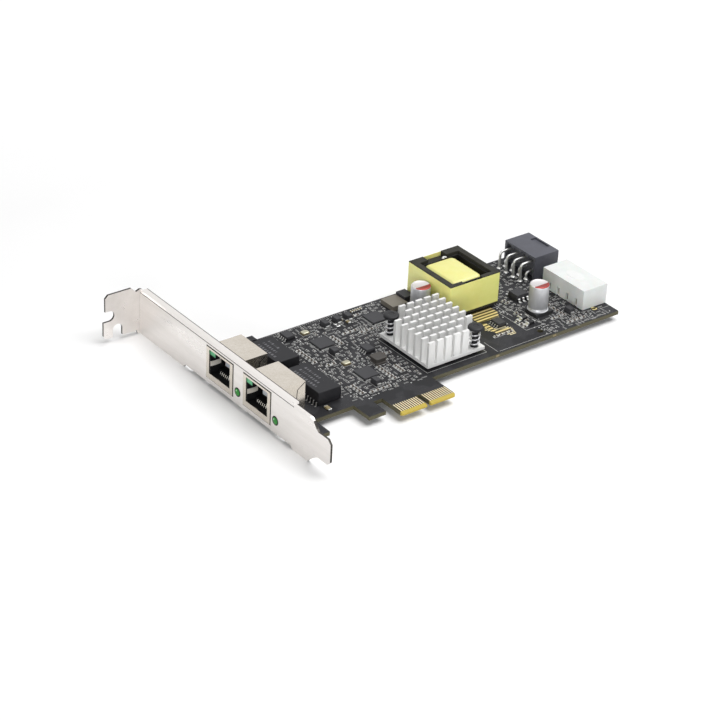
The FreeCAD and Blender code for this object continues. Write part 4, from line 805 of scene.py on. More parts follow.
def blocks(centres: np.ndarray, halves: np.ndarray, chamfer: float, draft: float = 0.0) -> Mesh:
    """Many chamfered boxes at once: centre + sign * (half - chamfer * (1 - full)).

    Args:
        centres: n rows of X, Y, Z.
        halves: n rows, or one row, of half sizes.
        chamfer: how far each edge is cut back.
        draft: how much narrower the top is than the middle, as a share of the width.

    Returns:
        Vertices and faces.
    """
    centres = np.atleast_2d(np.asarray(centres, float))
    halves = np.broadcast_to(np.atleast_2d(np.asarray(halves, float)), centres.shape)
    offsets = SIGNS[None] * (halves[:, None] - chamfer * (1 - FULL[None]))
    offsets = offsets * (1 - draft * np.maximum(SIGNS[None, :, 2:], 0) * np.array([1, 1, 0]))
    points = centres[:, None] + offsets
    base = 24 * np.arange(len(centres))
    faces = [[corner + start for corner in face] for start in base for face in CHAMFER_FACES]
    return points.reshape(-1, 3), faces


def block(low: Triple, high: Triple, chamfer: float = 0.05, draft: float = 0.0) -> Mesh:
    """One chamfered box between two corners."""
    low_corner, high_corner = np.array(low, float), np.array(high, float)
    return blocks((low_corner + high_corner) / 2, (high_corner - low_corner) / 2, chamfer, draft)


def upright(x: float, y: float, wide: float, deep: float, high: float, chamfer: float,
            low: float = 0.0) -> Mesh:
    """One chamfered box from its middle and half sizes in plan, and its heights."""
    return block((x - wide, y - deep, low), (x + wide, y + deep, high), chamfer)


def dress(frame: dict, node: str, finish: Finish) -> None:
    """Give a CAD node its finish."""
    item = frame["nodes"][node]
    item.data.materials.clear()
    item.data.materials.append(finish.material())
    LOG.info("%s: %s", node, finish.name)


def node_box(node: str) -> tuple[np.ndarray, np.ndarray]:
    """A CAD node's lowest and highest corners in mm."""
    low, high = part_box(node)
    return np.array(low) / MM, np.array(high) / MM


def islands(frame: dict, node: str) -> tuple[np.ndarray, np.ndarray]:
    """Centres and half sizes of a node's separate small solids, each told apart by touching faces.

    Faces are grouped by rounding their corners to 0.01 mm and joining those that share one, with
    the smallest label spread until nothing changes.
    """
    mesh = frame["nodes"][node].data
    points = np.zeros(len(mesh.vertices) * 3)
    mesh.vertices.foreach_get("co", points)
    points = points.reshape(-1, 3) / MM
    corners = np.zeros(len(mesh.loops), np.int64)
    mesh.loops.foreach_get("vertex_index", corners)
    triangles = corners.reshape(-1, 3)
    _, same = np.unique(np.round(points, 2), axis=0, return_inverse=True)
    same = same.reshape(-1)
    label = np.arange(same.max() + 1)
    triangles = same[triangles]
    for _ in range(60):
        least = label[triangles].min(1)
        before = label.copy()
        for column in range(3):
            np.minimum.at(label, triangles[:, column], least)
        if (before == label).all():
            break
    groups = label[same]
    centres, halves = [], []
    for group in np.unique(groups):
        low, high = points[groups == group].min(0), points[groups == group].max(0)
        centres.append((low + high) / 2)
        halves.append((high - low) / 2)
    return np.array(centres), np.array(halves)


# --------------------------------------------------------------------------- sub-assemblies


# CAD nodes that take no room from the small parts and marks on the component face.
APART = ("circuit_board", "edge_contacts", "slot_bracket", "bracket_screws", "port_lights")
# CAD nodes of many small solids, each of which takes its own room.
SCATTERED = (
    "chip_part_bodies", "chip_part_caps", "package_leads", "leaded_packages", "crystals", "diodes",
    "leadless_packages", "gold_areas", "transformer_pins", "power_header_pins", "signal_header_pins",
    "bridge_leads",
)
# The strokes that each figure shows: top, upper left and right, middle, lower left and right, foot.
FIGURES = ("1110111", "0010010", "1011101", "1011011", "0111010", "1101011", "1101111", "1010010",
           "1111111", "1111011")


@dataclass
class Board:
    """The bare board with its plating, printed marks, plated holes and pads."""

    frame: dict
    mark_height: float = 0.02
    stroke: float = 0.13
    digit_height: float = 0.95
    digit_width: float = 0.55
    cell: float = 0.25
    clearance: float = 0.15
    raster: float = 0.5
    turned_share: float = 0.4
    via_radius: float = 0.3
    via_hole: float = 0.16
    occupied: np.ndarray = field(default_factory=lambda: np.zeros((640, 300), bool))
    corner: Pair = (-53.0, -2.0)
    front_edge: float = 13.7
    stub_places: tuple[float, ...] = (43.3, 71.4)

    def build(self) -> None:
        """Dress the board and add what is printed and plated on it."""
        dress(self.frame, "circuit_board", MASK)
        dress(self.frame, "edge_contacts", EDGE_GOLD)
        dress(self.frame, "gold_areas", GOLD_SLOTS)
        self.survey()
        self.extras()
        self.tiny_parts()
        self.marks()
        self.vias()
        self.break_off_spots()
        self.gold_patch()

    def survey(self) -> None:
        """Mark the cells of the component face that a part or a hole already takes."""
        for name in self.frame["nodes"]:
            if name in APART:
                continue
            if name in SCATTERED:
                centres, halves = islands(self.frame, name)
            else:
                low, high = node_box(name)
                centres, halves = [(low + high) / 2], [(high - low) / 2]
            for centre, half in zip(centres, halves):
                self.take(centre[:2], half[:2] + self.clearance)

    def window(self, centre: np.ndarray, half: np.ndarray) -> tuple[slice, slice]:
        """The cells that a rectangle covers."""
        low = ((np.asarray(centre) - half - self.corner) / self.cell).astype(int)
        high = ((np.asarray(centre) + half - self.corner) / self.cell).astype(int) + 1
        return slice(max(low[0], 0), high[0]), slice(max(low[1], 0), high[1])

    def take(self, centre: np.ndarray, half: np.ndarray) -> None:
        """Mark a rectangle as taken."""
        self.occupied[self.window(centre, half)] = True

    def free(self, centre: np.ndarray, half: np.ndarray) -> bool:
        """Whether nothing is in a rectangle."""
        return not self.occupied[self.window(centre, half)].any()

    def spots(self, seed: int, areas: tuple, half: Pair, tries: int) -> np.ndarray:
        """Free places for a rectangle, tried in a seeded random order on a raster.

        Args:
            seed: the random seed.
            areas: rectangles (x0, y0, x1, y1) to fill.
            half: half sizes that each place needs.
            tries: how many places are tried in each area.

        Returns:
            Rows of X, Y and 0 or 1 for a quarter turn.
        """
        random = np.random.default_rng(seed)
        found = []
        for x0, y0, x1, y1 in areas:
            places = random.uniform((x0, y0), (x1, y1), (tries, 2))
            places = np.round(places / self.raster) * self.raster
            turns = random.random(tries) < self.turned_share
            for spot, turn in zip(places, turns):
                need = np.array(half[::-1] if turn else half)
                if self.free(spot, need):
                    self.take(spot, need)
                    found.append((spot[0], spot[1], float(turn)))
        return np.array(found).reshape(-1, 3)

    def extras(self) -> None:
        """Single parts that stand out: large chip parts with a land, tan parts, and solder lands."""
        bodies, ends, tan = Shape(), Shape(), Shape()
        for x, y in ((68.9, 28.9), (68.7, 24.7)):
            bodies.add(*upright(x, y, 1.5, 0.9, 1.1, 0.06, 0.02))
            for side in (-1, 1):
                ends.add(*upright(x + 1.55 * side, y, 0.3, 0.92, 1.12, 0.08))
            ends.add(*upright(x - 2.45, y, 0.65, 0.95, 0.3, 0.1))
            self.take((x, y), (2.1, 1.1))
        tan_places = ((-32.6, 17.0, 0.75, 1.3), (9.1, 65.5, 0.9, 0.6), (10.8, 62.7, 0.6, 0.9))
        for x, y, wide, deep in tan_places:
            tan.add(*upright(x, y, wide, deep, 0.7, 0.06, 0.02))
            for side in (-1, 1):
                if deep > wide:
                    ends.add(*upright(x, y + side * deep, wide, 0.25, 0.72, 0.08))
                else:
                    ends.add(*upright(x + side * wide, y, 0.25, deep, 0.72, 0.08))
            self.take((x, y), (wide + 0.4, deep + 0.4))
        for x in 16.7 + 1.1 * np.arange(5):
            tan.add(*upright(x, 68.5, 0.3, 0.4, 0.5, 0.05, 0.02))
            for y in (67.95, 69.05):
                ends.add(*upright(x, y, 0.3, 0.15, 0.5, 0.05))
        self.take((18.9, 68.5), (2.8, 0.8))
        for x, y, wide, deep in ((1.0, 64.0, 0.4, 0.7), (6.1, 64.4, 0.8, 0.6), (6.1, 62.6, 0.8, 0.5)):
            ends.add(*upright(x, y, wide, deep, 0.25, 0.1))
            self.take((x, y), (wide + 0.2, deep + 0.2))
        bodies.piece("large_chip_bodies", RESISTOR_GLASS)
        ends.piece("large_chip_ends", SOLDER)
        tan.piece("tan_chip_bodies", CHIP_TAN)

    def tiny_parts(self) -> None:
        """Chip parts 1.0 x 0.5 mm between the larger ones: body, two end caps and a printed frame."""
        areas = ((-21, 16, 11, 69.5), (11, 48.5, 33, 58), (82, 16, 93, 24), (45, 34, 52, 41))
        places = self.spots(11, areas, (0.95, 0.55), 420)
        swap = places[:, 2:] > 0.5
        centres = at_height(places, 0.18)
        long_way = np.where(swap, [[0, 1, 0]], [[1, 0, 0]])
        dark = np.arange(len(places)) % 3 > 0
        body_half = np.where(swap, [[0.24, 0.3, 0.17]], [[0.3, 0.24, 0.17]])
        cap_half = np.where(swap, [[0.25, 0.12, 0.18]], [[0.12, 0.25, 0.18]])
        for name, chosen, finish in (("tiny_resistors", dark, RESISTOR_GLASS),
                                     ("tiny_capacitors", ~dark, CERAMIC_TAN)):
            Shape().add(*blocks(centres[chosen], body_half[chosen], 0.02)).piece(name, finish)
        ends = np.concatenate([centres - 0.4 * long_way, centres + 0.4 * long_way])
        caps = blocks(ends, np.concatenate([cap_half, cap_half]), 0.04)
        Shape().add(*caps).piece("tiny_part_caps", SOLDER)
        reach = np.where(swap, [[0.45, 0.8]], [[0.8, 0.45]])
        frames = [self.outline(spot[:2] - half, spot[:2] + half) for spot, half in zip(places, reach)]
        self.flat_bars(np.concatenate(frames), "tiny_part_frames", INK)

    def digits(self, places: np.ndarray, seed: int) -> np.ndarray:
        """Plain two-figure numbers as seven-stroke figures.

        Args:
            places: rows of X, Y, turn.
            seed: the random seed of the figures.

        Returns:
            Rows of centre X, Y and half sizes of every stroke.
        """
        lit = np.array([[mark == "1" for mark in figure] for figure in FIGURES])
        w, h, s = self.digit_width / 2, self.digit_height / 2, self.stroke / 2
        bars = np.array([(0, h, w, s), (-w, h / 2, s, h / 2), (w, h / 2, s, h / 2), (0, 0, w, s),
                         (-w, -h / 2, s, h / 2), (w, -h / 2, s, h / 2), (0, -h, w, s)])
        figures = np.random.default_rng(seed).integers(0, 10, (len(places), 2))
        rows = []
        for slot, shift in enumerate((-0.45, 0.45)):
            for figure in range(10):
                chosen = places[figures[:, slot] == figure]
                bar = bars[lit[figure]]
                local = np.broadcast_to(bar + (shift, 0, 0, 0), (len(chosen),) + bar.shape)
                turn = chosen[:, None, 2:] > 0.5
                moved = np.where(turn, local[..., [1, 0, 3, 2]] * (-1, 1, 1, 1), local)
                origin = np.pad(chosen[:, None, :2], ((0, 0), (0, 0), (0, 2)))
                rows.append((moved + origin).reshape(-1, 4))
        return np.concatenate(rows)

    def flat_bars(self, bars: np.ndarray, name: str, finish: Finish, low: float = 0.0) -> None:
        """Thin raised rectangles, rows of centre X, Y and half sizes, as one piece of plain boxes."""
        centres = at_height(bars, low + self.mark_height / 2)
        halves = at_height(bars[:, 2:], self.mark_height / 2)
        points = centres[:, None] + BOX_CORNERS[None] * halves[:, None]
        faces = BOX_FACES[None] + 8 * np.arange(len(bars))[:, None, None]
        Shape().add(points.reshape(-1, 3), faces.reshape(-1, 4).tolist()).piece(name, finish)

    def outline(self, low: np.ndarray, high: np.ndarray, gap: float = 0.0) -> np.ndarray:
        """Four bars around a rectangle."""
        x0, y0, x1, y1 = low[0] - gap, low[1] - gap, high[0] + gap, high[1] + gap
        s = self.stroke / 2
        mx, my, hx, hy = (x0 + x1) / 2, (y0 + y1) / 2, (x1 - x0) / 2 + s, (y1 - y0) / 2 + s
        return np.array([(mx, y0, hx, s), (mx, y1, hx, s), (x0, my, s, hy), (x1, my, s, hy)])

    def marks(self) -> None:
        """Printed outlines around the parts, plain numbers beside them, and the long printed lines."""
        bars = []
        for node, gap in (("power_coil", 0.35), ("heat_sink", 0.6), ("transformer_tape", 0.5)):
            low, high = node_box(node)
            bars.append(self.outline(low, high, gap))
        for node, gap in (("leadless_packages", 0.5), ("crystals", 0.3), ("diodes", 0.3)):
            for centre, half in zip(*islands(self.frame, node)):
                bars.append(self.outline(centre - half, centre + half, gap))
        for centre in islands(self.frame, "chip_part_bodies")[0]:
            bars.append(self.outline(centre[:2] - (0.8, 0.4), centre[:2] + (0.8, 0.4), 0.22))
        bars.append(self.outline((64.0, 21.5), (72.5, 37.2)))
        s = self.stroke / 2
        for first, last, y in ((-23.0, 12.5, 70.3), (22.5, 29.5, 69.6)):
            bars.append(np.array([(x, y, s, 0.42) for x in np.arange(first, last, 0.95)]))
        bars.append(np.array([
            (100.9, 18.8, 3.0, s), (70.8, 18.0, s, 3.2), (58.0, 14.9, 12.5, s), (44.5, 19.0, s, 4.0),
            (91.0, 14.9, 7.0, s), (66.5, 40.5, s, 8.0), (90.3, 46.0, s, 3.4)]))
        self.flat_bars(np.concatenate(bars), "printed_outlines", INK)
        self.dashes()
        areas = ((-22, 15, 11.5, 70), (11, 47, 34, 70), (68, 34, 90, 69.5), (72, 14.5, 100, 36),
                 (30, 47, 42, 60))
        places = self.spots(23, areas, (0.95, 0.6), 900)
        self.flat_bars(self.digits(places, 5), "printed_numbers", INK)
        LOG.info("printed numbers: %d", len(places))

    def dashes(self) -> None:
        """Rows of short printed dashes between the parts of the densely fitted end of the board."""
        areas = ((-21, 15, 11, 69.5), (11, 48, 33, 60), (76, 14.5, 100, 26))
        places = self.spots(71, areas, (1.15, 0.5), 1500)
        row = np.array([(shift, 0, self.stroke / 2, 0.34) for shift in np.linspace(-0.9, 0.9, 5)])
        rows = [(row[:, [1, 0, 3, 2]] if turn > 0.5 else row) + (x, y, 0, 0) for x, y, turn in places]
        self.flat_bars(np.concatenate(rows), "printed_dashes", INK)
        LOG.info("rows of dashes: %d", len(places))

    def gold_patch(self) -> None:
        """Thin plated bars along X in front of the bridge, cut off along a slanted outline."""
        rows = np.arange(22.2, 34.0, 0.85)
        left = np.interp(rows, (22.0, 27.7, 29.8, 34.3), (56.7, 52.4, 50.6, 54.2))
        right = np.interp(rows, (22.0, 26.2, 28.7, 29.1, 34.3), (59.4, 60.8, 59.1, 54.6, 54.6))
        bars = np.column_stack([(left + right) / 2, rows, (right - left) / 2, np.full(len(rows), 0.2)])
        self.flat_bars(bars, "gold_patch_bars", GOLD, -0.005)

    def break_off_spots(self) -> None:
        """Torn tan stubs of the panel's break-off tabs, on the front edge."""
        shape = Shape()
        low = self.front_edge
        for x in self.stub_places:
            shape.add(*block((x - 0.8, low - 0.12, -1.2), (x + 0.8, low + 0.02, -0.3), 0.05))
        shape.piece("break_off_stubs", CHIP_TAN)

    def vias(self) -> None:
        """Plated via rings scattered over the open mask, each a low turned ring."""
        areas = ((-22, 14.5, 11.5, 70), (12, 46.5, 42, 70), (68, 14.5, 103, 48), (-50, 46, -36, 70),
                 (42, 34, 66, 41))
        r, height = self.via_radius, self.mark_height
        places = self.spots(37, areas, (r, r), 260)
        ring, faces = turned([(r, 0.0), (r, height), (self.via_hole, height + 0.002)], (0, 0, 0), 8)
        points = ring[None] + at_height(places, 0)[:, None]
        every = [[corner + start for corner in face] for start in len(ring) * np.arange(len(places))
                 for face in faces]
        Shape().add(points.reshape(-1, 3), every).piece("via_rings", TIN, 40)


@dataclass
class Bracket:
    """The slot bracket, its screws and the two round indicator lights."""

    frame: dict
    screw_radius: float = 2.8
    screw_height: float = 1.8
    light_radius: float = 1.7

    def build(self) -> None:
        """Dress the bracket and make its screws and lights."""
        dress(self.frame, "slot_bracket", BRACKET_NICKEL)
        self.screws()
        self.lights()

    def screws(self) -> None:
        """Pan heads with a cross recess over plain shanks."""
        shape = Shape()
        centres, _ = islands(self.frame, "bracket_screws")
        low, _ = node_box("bracket_screws")
        r, h = self.screw_radius, self.screw_height
        head = [(1.45, low[2]), (1.45, 0.0), (r, 0.0), (r, 0.35 * h), (0.93 * r, 0.65 * h),
                (0.7 * r, 0.88 * h), (0.42 * r, 0.97 * h), (0.4 * r, 0.6 * h)]
        for centre in centres:
            shape.add(*turned(head, (centre[0], centre[1], 0), 32))
            for half in ((0.36 * r, 0.13 * r, 0.12 * h), (0.13 * r, 0.36 * r, 0.12 * h)):
                shape.add(*blocks((centre[0], centre[1], 0.68 * h), half, 0.05))
        shape.piece("screws", TIN, 40, ("bracket_screws",))

    def lights(self) -> None:
        """Domed round lights in a dark bezel ring, each with a pale disc painted on as its highlight.
        """
        lenses, glints, rims = Shape(), Shape(), Shape()
        (front, _, _), (back, _, _) = node_box("port_lights")
        r = self.light_radius
        dome = [(0.35 * r, front), (0.7 * r, front + 0.1), (0.92 * r, front + 0.3), (r, front + 0.55),
                (r, back)]
        glint = [(0.15, front - 0.03), (0.42, front + 0.02), (0.42, front + 0.12)]
        collar = [(r, front + 0.2), (1.06 * r, front + 0.24), (1.06 * r, front + 0.34)]
        for _, y, z in islands(self.frame, "port_lights")[0]:
            lenses.add(*turned(dome, (0, y, z), 32, Axis.X))
            # painted highlight: a pale disc on the lens's upper +Y side
            glints.add(*turned(glint, (0.02, y + 0.35, z + 0.45), 16, Axis.X))
            rims.add(*turned(collar, (0, y, z), 32, Axis.X))
        lenses.piece("indicator_lights", GREEN_EPOXY, 50, ("port_lights",))
        glints.piece("indicator_glints", PAINTED_LENS_GLINT, 50)
        rims.piece("indicator_collars", BLACK_PBT, 50)


@dataclass
class Socket:
    """One shielded network socket."""

    frame: dict
    number: int
    seam: float = 0.3

    def build(self) -> None:
        """Dress the CAD nodes and add wires, side fingers, seams and a black strip painted as the
        shadow in the gap round the shell.
        """
        prefix = f"socket_{self.number}"
        dress(self.frame, prefix + "_shield", SHELL_NICKEL)
        dress(self.frame, prefix + "_body", BLACK_PBT)
        dress(self.frame, prefix + "_left_window", GREEN_PIPE)
        dress(self.frame, prefix + "_right_window", CLEAR_PIPE)
        low, high = node_box(prefix + "_shield")
        self.wires(prefix)
        self.fingers(prefix)
        self.seams(prefix, low, high)
        self.gap(prefix, low, high)

    def wires(self, prefix: str) -> None:
        """Gold wires that rise steeply at the front of a black comb and run back inside it.

        The comb's black block also stands in for the shade inside the mouth, hiding all but the wires'
        tips.
        """
        centres, _ = islands(self.frame, prefix + "_wires")
        low, high = node_box(prefix + "_wires")
        shape = Shape()
        crest = low[2] + 1.0
        for _, y, _ in centres:
            route = np.array([(low[0] + 0.3, y, low[2] - 0.1), (low[0] + 0.5, y, crest),
                              (low[0] + 2.2, y, crest - 0.4)])
            shape.add(*swept(wire(0.1, 8), arc_path(route, 0.3, 5), (0, 1, 0)))
        shape.piece(prefix + "_contact_springs", CONTACT_WIRE, 60, (prefix + "_wires",))
        # black block: partly the contact comb, partly painted shade that hides the wires' back runs
        comb_and_shade = block((low[0] + 0.8, low[1] - 1.2, low[2] - 0.3),
                     (high[0], high[1] + 1.2, crest + 0.3), 0.1)
        Shape().add(*comb_and_shade).piece(prefix + "_comb_and_shade", BLACK_PBT)

    def fingers(self, prefix: str) -> None:
        """Bowed earthing fingers on the side walls."""
        low, high = node_box(prefix + "_fingers")
        shape = Shape()
        for y, inward in ((high[1] - 0.16, -1), (low[1] + 0.16, 1)):
            t = np.linspace(0, 1, 9)
            x, bow = low[0] + t * (high[0] - low[0]), inward * 0.2 * np.sin(np.pi * t)
            route = np.column_stack([x, y + bow, np.full(9, (low[2] + high[2]) / 2)])
            shape.add(*swept(strip(0.95, 0.1), route, (0, 0, 1)))
        shape.piece(prefix + "_earth_fingers", FINGER_TIN, 50, (prefix + "_fingers",))

    def gap(self, prefix: str, low: np.ndarray, high: np.ndarray) -> None:
        """A black strip painted as the shadow in the gap that runs round the shell where it stands in
        the bracket's cut-out.
        """
        wide, face = 0.34, low[0] + 0.21
        sides = (
            ((low[1] - wide, low[2] - wide), (low[1], high[2] + wide)),
            ((high[1], low[2] - wide), (high[1] + wide, high[2] + wide)),
            ((low[1], low[2] - wide), (high[1], low[2])),
            ((low[1], high[2]), (high[1], high[2] + wide)),
        )
        shape = Shape()
        for first, second in sides:
            shape.add(*block((face, *first), (face + 0.6, *second), 0.01))
        shape.piece(prefix + "_gap_shadow", BLACK_PBT)

    def seams(self, prefix: str, low: np.ndarray, high: np.ndarray) -> None:
        """The folded seam on each side wall, as a thin dark strip that bends down."""
        shape = Shape()
        for y in (low[1], high[1]):
            points = np.array([(high[0] - 0.1, y, high[2] - 0.25), (high[0] - 3.4, y, high[2] - 2.6),
                               (high[0] - 3.9, y, 0.3)])
            shape.add(*swept(strip(0.02, self.seam / 2), points, (0, 1, 0)))
        shape.piece(prefix + "_shell_seams", BLACK_PBT)


@dataclass
class Module:
    """A moulded magnetics module with gull-wing leads."""

    frame: dict
    number: int

    def build(self) -> None:
        """Build the case with its draft and parting line, the leads and plain tool marks."""
        node = f"magnetics_{self.number}"
        low, high = node_box(node)
        middle = (low[2] + high[2]) * 0.42
        case = moulded(low, high, 0.3, 3, [(low[2], 0.25), (middle, 0.0), (middle + 0.06, 0.0),
                                           (high[2] - 0.15, 0.22), (high[2], 0.38)])
        Shape().add(*case).piece(f"module_case_{self.number}", MODULE_MOULD, 30, (node,))
        self.leads(node)
        self.tool_marks(low, high)

    def leads(self, node: str) -> None:
        """Gull-wing leads: out of the case, down and out along the board."""
        centres, halves = islands(self.frame, node + "_leads")
        low, high = node_box(node)
        Leads().build(f"module_leads_{self.number}", centres, halves, (low[0] + high[0]) / 2,
                      (node + "_leads",), 1.6)

    def tool_marks(self, low: np.ndarray, high: np.ndarray) -> None:
        """Rows of short laser strokes on the case."""
        random = np.random.default_rng(60 + self.number)
        rows = []
        for row in range(3):
            x = low[0] + 2.2 + 2.3 * row
            y = high[1] - 3.0
            while y > low[1] + 4.5 + 2.0 * row:
                length = random.uniform(0.5, 1.3)
                rows.append((x, y - length / 2, 0.5, length / 2 - 0.18))
                y -= length + 0.35
        bars = np.array(rows)
        marks = blocks(at_height(bars, high[2] + 0.005), at_height(bars[:, 2:], 0.006), 0.002)
        Shape().add(*marks).piece(f"module_marks_{self.number}", LASER)


@dataclass
class Leads:
    """Formed gull-wing leads of any package."""

    sheet: float = 0.16
    sunk: float = 0.15
    level: float = 0.45
    slope: float = 0.12
    bend: float = 0.1

    def build(self, name: str, centres: np.ndarray, halves: np.ndarray, middle_x: float,
              stands_for: tuple[str, ...], rise: float) -> None:
        """Bent strips, each from its CAD solid's box: level out of the body, down, level at the foot.

        Args:
            name: the piece's name.
            centres: the CAD leads' centres.
            halves: their half sizes.
            middle_x: the package's middle, which tells the two sides apart.
            stands_for: the CAD nodes that the piece replaces.
            rise: height at which the leads leave the body.
        """
        shape = Shape()
        for centre, half in zip(centres, halves):
            out = 1.0 if centre[0] > middle_x else -1.0
            tip = centre[0] + out * half[0]
            root = centre[0] - out * (half[0] + self.sunk)
            knee = root + out * self.level
            y, t = centre[1], self.sheet / 2
            route = np.array([(root, y, rise), (knee, y, rise), (knee + out * self.slope, y, t),
                              (tip, y, t)])
            shape.add(*swept(strip(half[1], t), arc_path(route, self.bend, 3), (0, 1, 0)))
        shape.piece(name, TIN, 40, stands_for)


@dataclass
class HeatSink:
    """The pinned heat sink with its chip, pad, push pins and springs."""

    frame: dict

    def build(self) -> None:
        """Dress the sink and turn the push pins."""
        dress(self.frame, "heat_sink", SINK_METAL)
        dress(self.frame, "controller_chip", EPOXY_MOULD)
        dress(self.frame, "thermal_pad", GAP_PAD)
        for number in (1, 2):
            self.push_pin(number)

    def push_pin(self, number: int) -> None:
        """A turned push pin: domed head with a sunk middle, shaft, and a barbed tail; its spring."""
        node = f"push_pin_{number}"
        low, high = node_box(node)
        centre = ((low[0] + high[0]) / 2, (low[1] + high[1]) / 2, 0)
        r = (high[0] - low[0]) / 2
        top = high[2]
        profile = [(0.5, low[2]), (0.9, low[2] + 0.1), (1.8, -1.65), (1.15, -1.57), (1.15, top - 1.3),
                   (0.92 * r, top - 1.3), (r, top - 1.15), (r, top - 0.45), (0.93 * r, top - 0.18),
                   (0.8 * r, top - 0.03), (0.6 * r, top), (0.42 * r, top - 0.03), (0.36 * r, top - 0.2)]
        pin = Shape().add(*turned(profile, centre, 40))
        pin.piece(f"push_pin_turned_{number}", BLACK_NYLON, 35, (node,))
        dress(self.frame, f"push_pin_spring_{number}", SPRING_WIRE)


@dataclass
class Transformer:
    """The taped power transformer."""

    frame: dict

    def build(self) -> None:
        """Dress the ferrite, crown the winding, round the tape wrap and dress the bobbin and pins."""
        dress(self.frame, "transformer_core", FERRITE)
        dress(self.frame, "transformer_bobbin", PHENOLIC)
        dress(self.frame, "transformer_pins", TIN)
        self.winding()
        self.loose_end()
        self.wrap()

    def winding(self) -> None:
        """The taped winding: rounded plan, round shoulders, and a top crowned by 0.4 mm."""
        low, high = node_box("transformer_winding")
        top = high[2]
        turns = 0.5 * np.pi * np.linspace(0, 1, 9)[1:]
        levels = [(low[2], 0.0), (top - 2.0, 0.0)]
        levels += [(top - 2.0 + 1.55 * np.sin(turn), 2.0 * (1 - np.cos(turn))) for turn in turns]
        levels += [(top - 0.45 + 0.4 * share, 2.0 + 4.8 * share) for share in (0.3, 0.6, 1.0)]
        crowned = Shape().add(*pillow(low, high, 2.2, levels))
        crowned.piece("taped_winding", WINDING_TAPE, 40, ("transformer_winding",))

    def loose_end(self) -> None:
        """A crumpled scrap of white tape at the winding's back corner."""
        low, high = node_box("transformer_winding")
        spots = (high[0] - 4.6, high[1], high[2]) + np.array([
            (0.0, 0.3, -0.5), (0.6, 0.5, -0.2), (-0.3, -0.2, -0.2), (1.1, 0.1, -0.3)])
        Shape().add(*blocks(spots, (0.45, 0.35, 0.12), 0.1)).piece("loose_tape_end", PAPER)

    def wrap(self) -> None:
        """The tape band: a rounded tube round the core, with the free end lapped on its -Y face."""
        low, high = node_box("transformer_tape")
        core_low, core_high = node_box("transformer_core")
        outer = rounded(low, high, 0.5, 5)
        inner = rounded(core_low + 0.01, core_high - 0.01, 0.4, 5)
        rings = [at_height(ring, z) for ring, z in (
            (outer, low[2]), (outer, high[2]), (inner, high[2]), (inner, low[2]))]
        band = Shape().add(np.concatenate(rings), rings_to_faces(4, len(outer), True))
        band.piece("tape_wrap", TAPE, 30, ("transformer_tape",))
        edge = block((low[0] + 15.0, low[1] - 0.03, low[2] + 0.02),
                     (high[0] - 0.6, low[1] + 0.01, high[2] - 0.02), 0.01)
        Shape().add(*edge).piece("tape_free_end", TAPE)


@dataclass
class CanCapacitor:
    """One surface-mount can capacitor."""

    frame: dict
    number: int

    def build(self) -> None:
        """Turn the can with its crimp and bevelled top, and dress the base."""
        node = f"capacitor_{self.number}_can"
        low, high = node_box(node)
        centre = ((low[0] + high[0]) / 2, (low[1] + high[1]) / 2)
        base_low, base_high = node_box(f"capacitor_{self.number}_base")
        r = (high[0] - low[0]) / 2 - 0.2
        foot, top = low[2], high[2]
        t = np.linspace(0, np.pi / 2, 6)
        shoulder = [(r - 0.55 * (1 - np.cos(s)), top - 0.55 + 0.55 * np.sin(s)) for s in t]
        profile = [(0.9 * r, foot - 0.05), (r, foot + 0.15), (r, foot + 0.7), (r - 0.2, foot + 1.0),
                   (r - 0.2, foot + 1.3), (r, foot + 1.6), *shoulder, (r - 0.75, top - 0.1)]
        looks = {**vars(CAN), "name": f"drawn_can_{self.number}", "metallic": 0.55}
        finish = CanTop(**looks, centre=centre, top_mm=top)
        Shape().add(*turned(profile, (*centre, 0), 48)).piece(f"can_{self.number}", finish, 35, (node,))
        dress(self.frame, f"capacitor_{self.number}_base", CAN_BASE)
        rim = (base_high[0] - base_low[0]) / 2 - 0.1
        ring = [(0.9 * r, foot - 0.1), (rim, foot - 0.05), (rim, foot + 0.25), (0.95 * r, foot + 0.4)]
        Shape().add(*turned(ring, (*centre, 0), 40)).piece(f"can_rim_{self.number}", CAN, 35)


# How far each header's tails stand in from the back end of their CAD solids.
TAIL_INSETS = {"power_header_pins": 0.45, "signal_header_pins": 0.66}


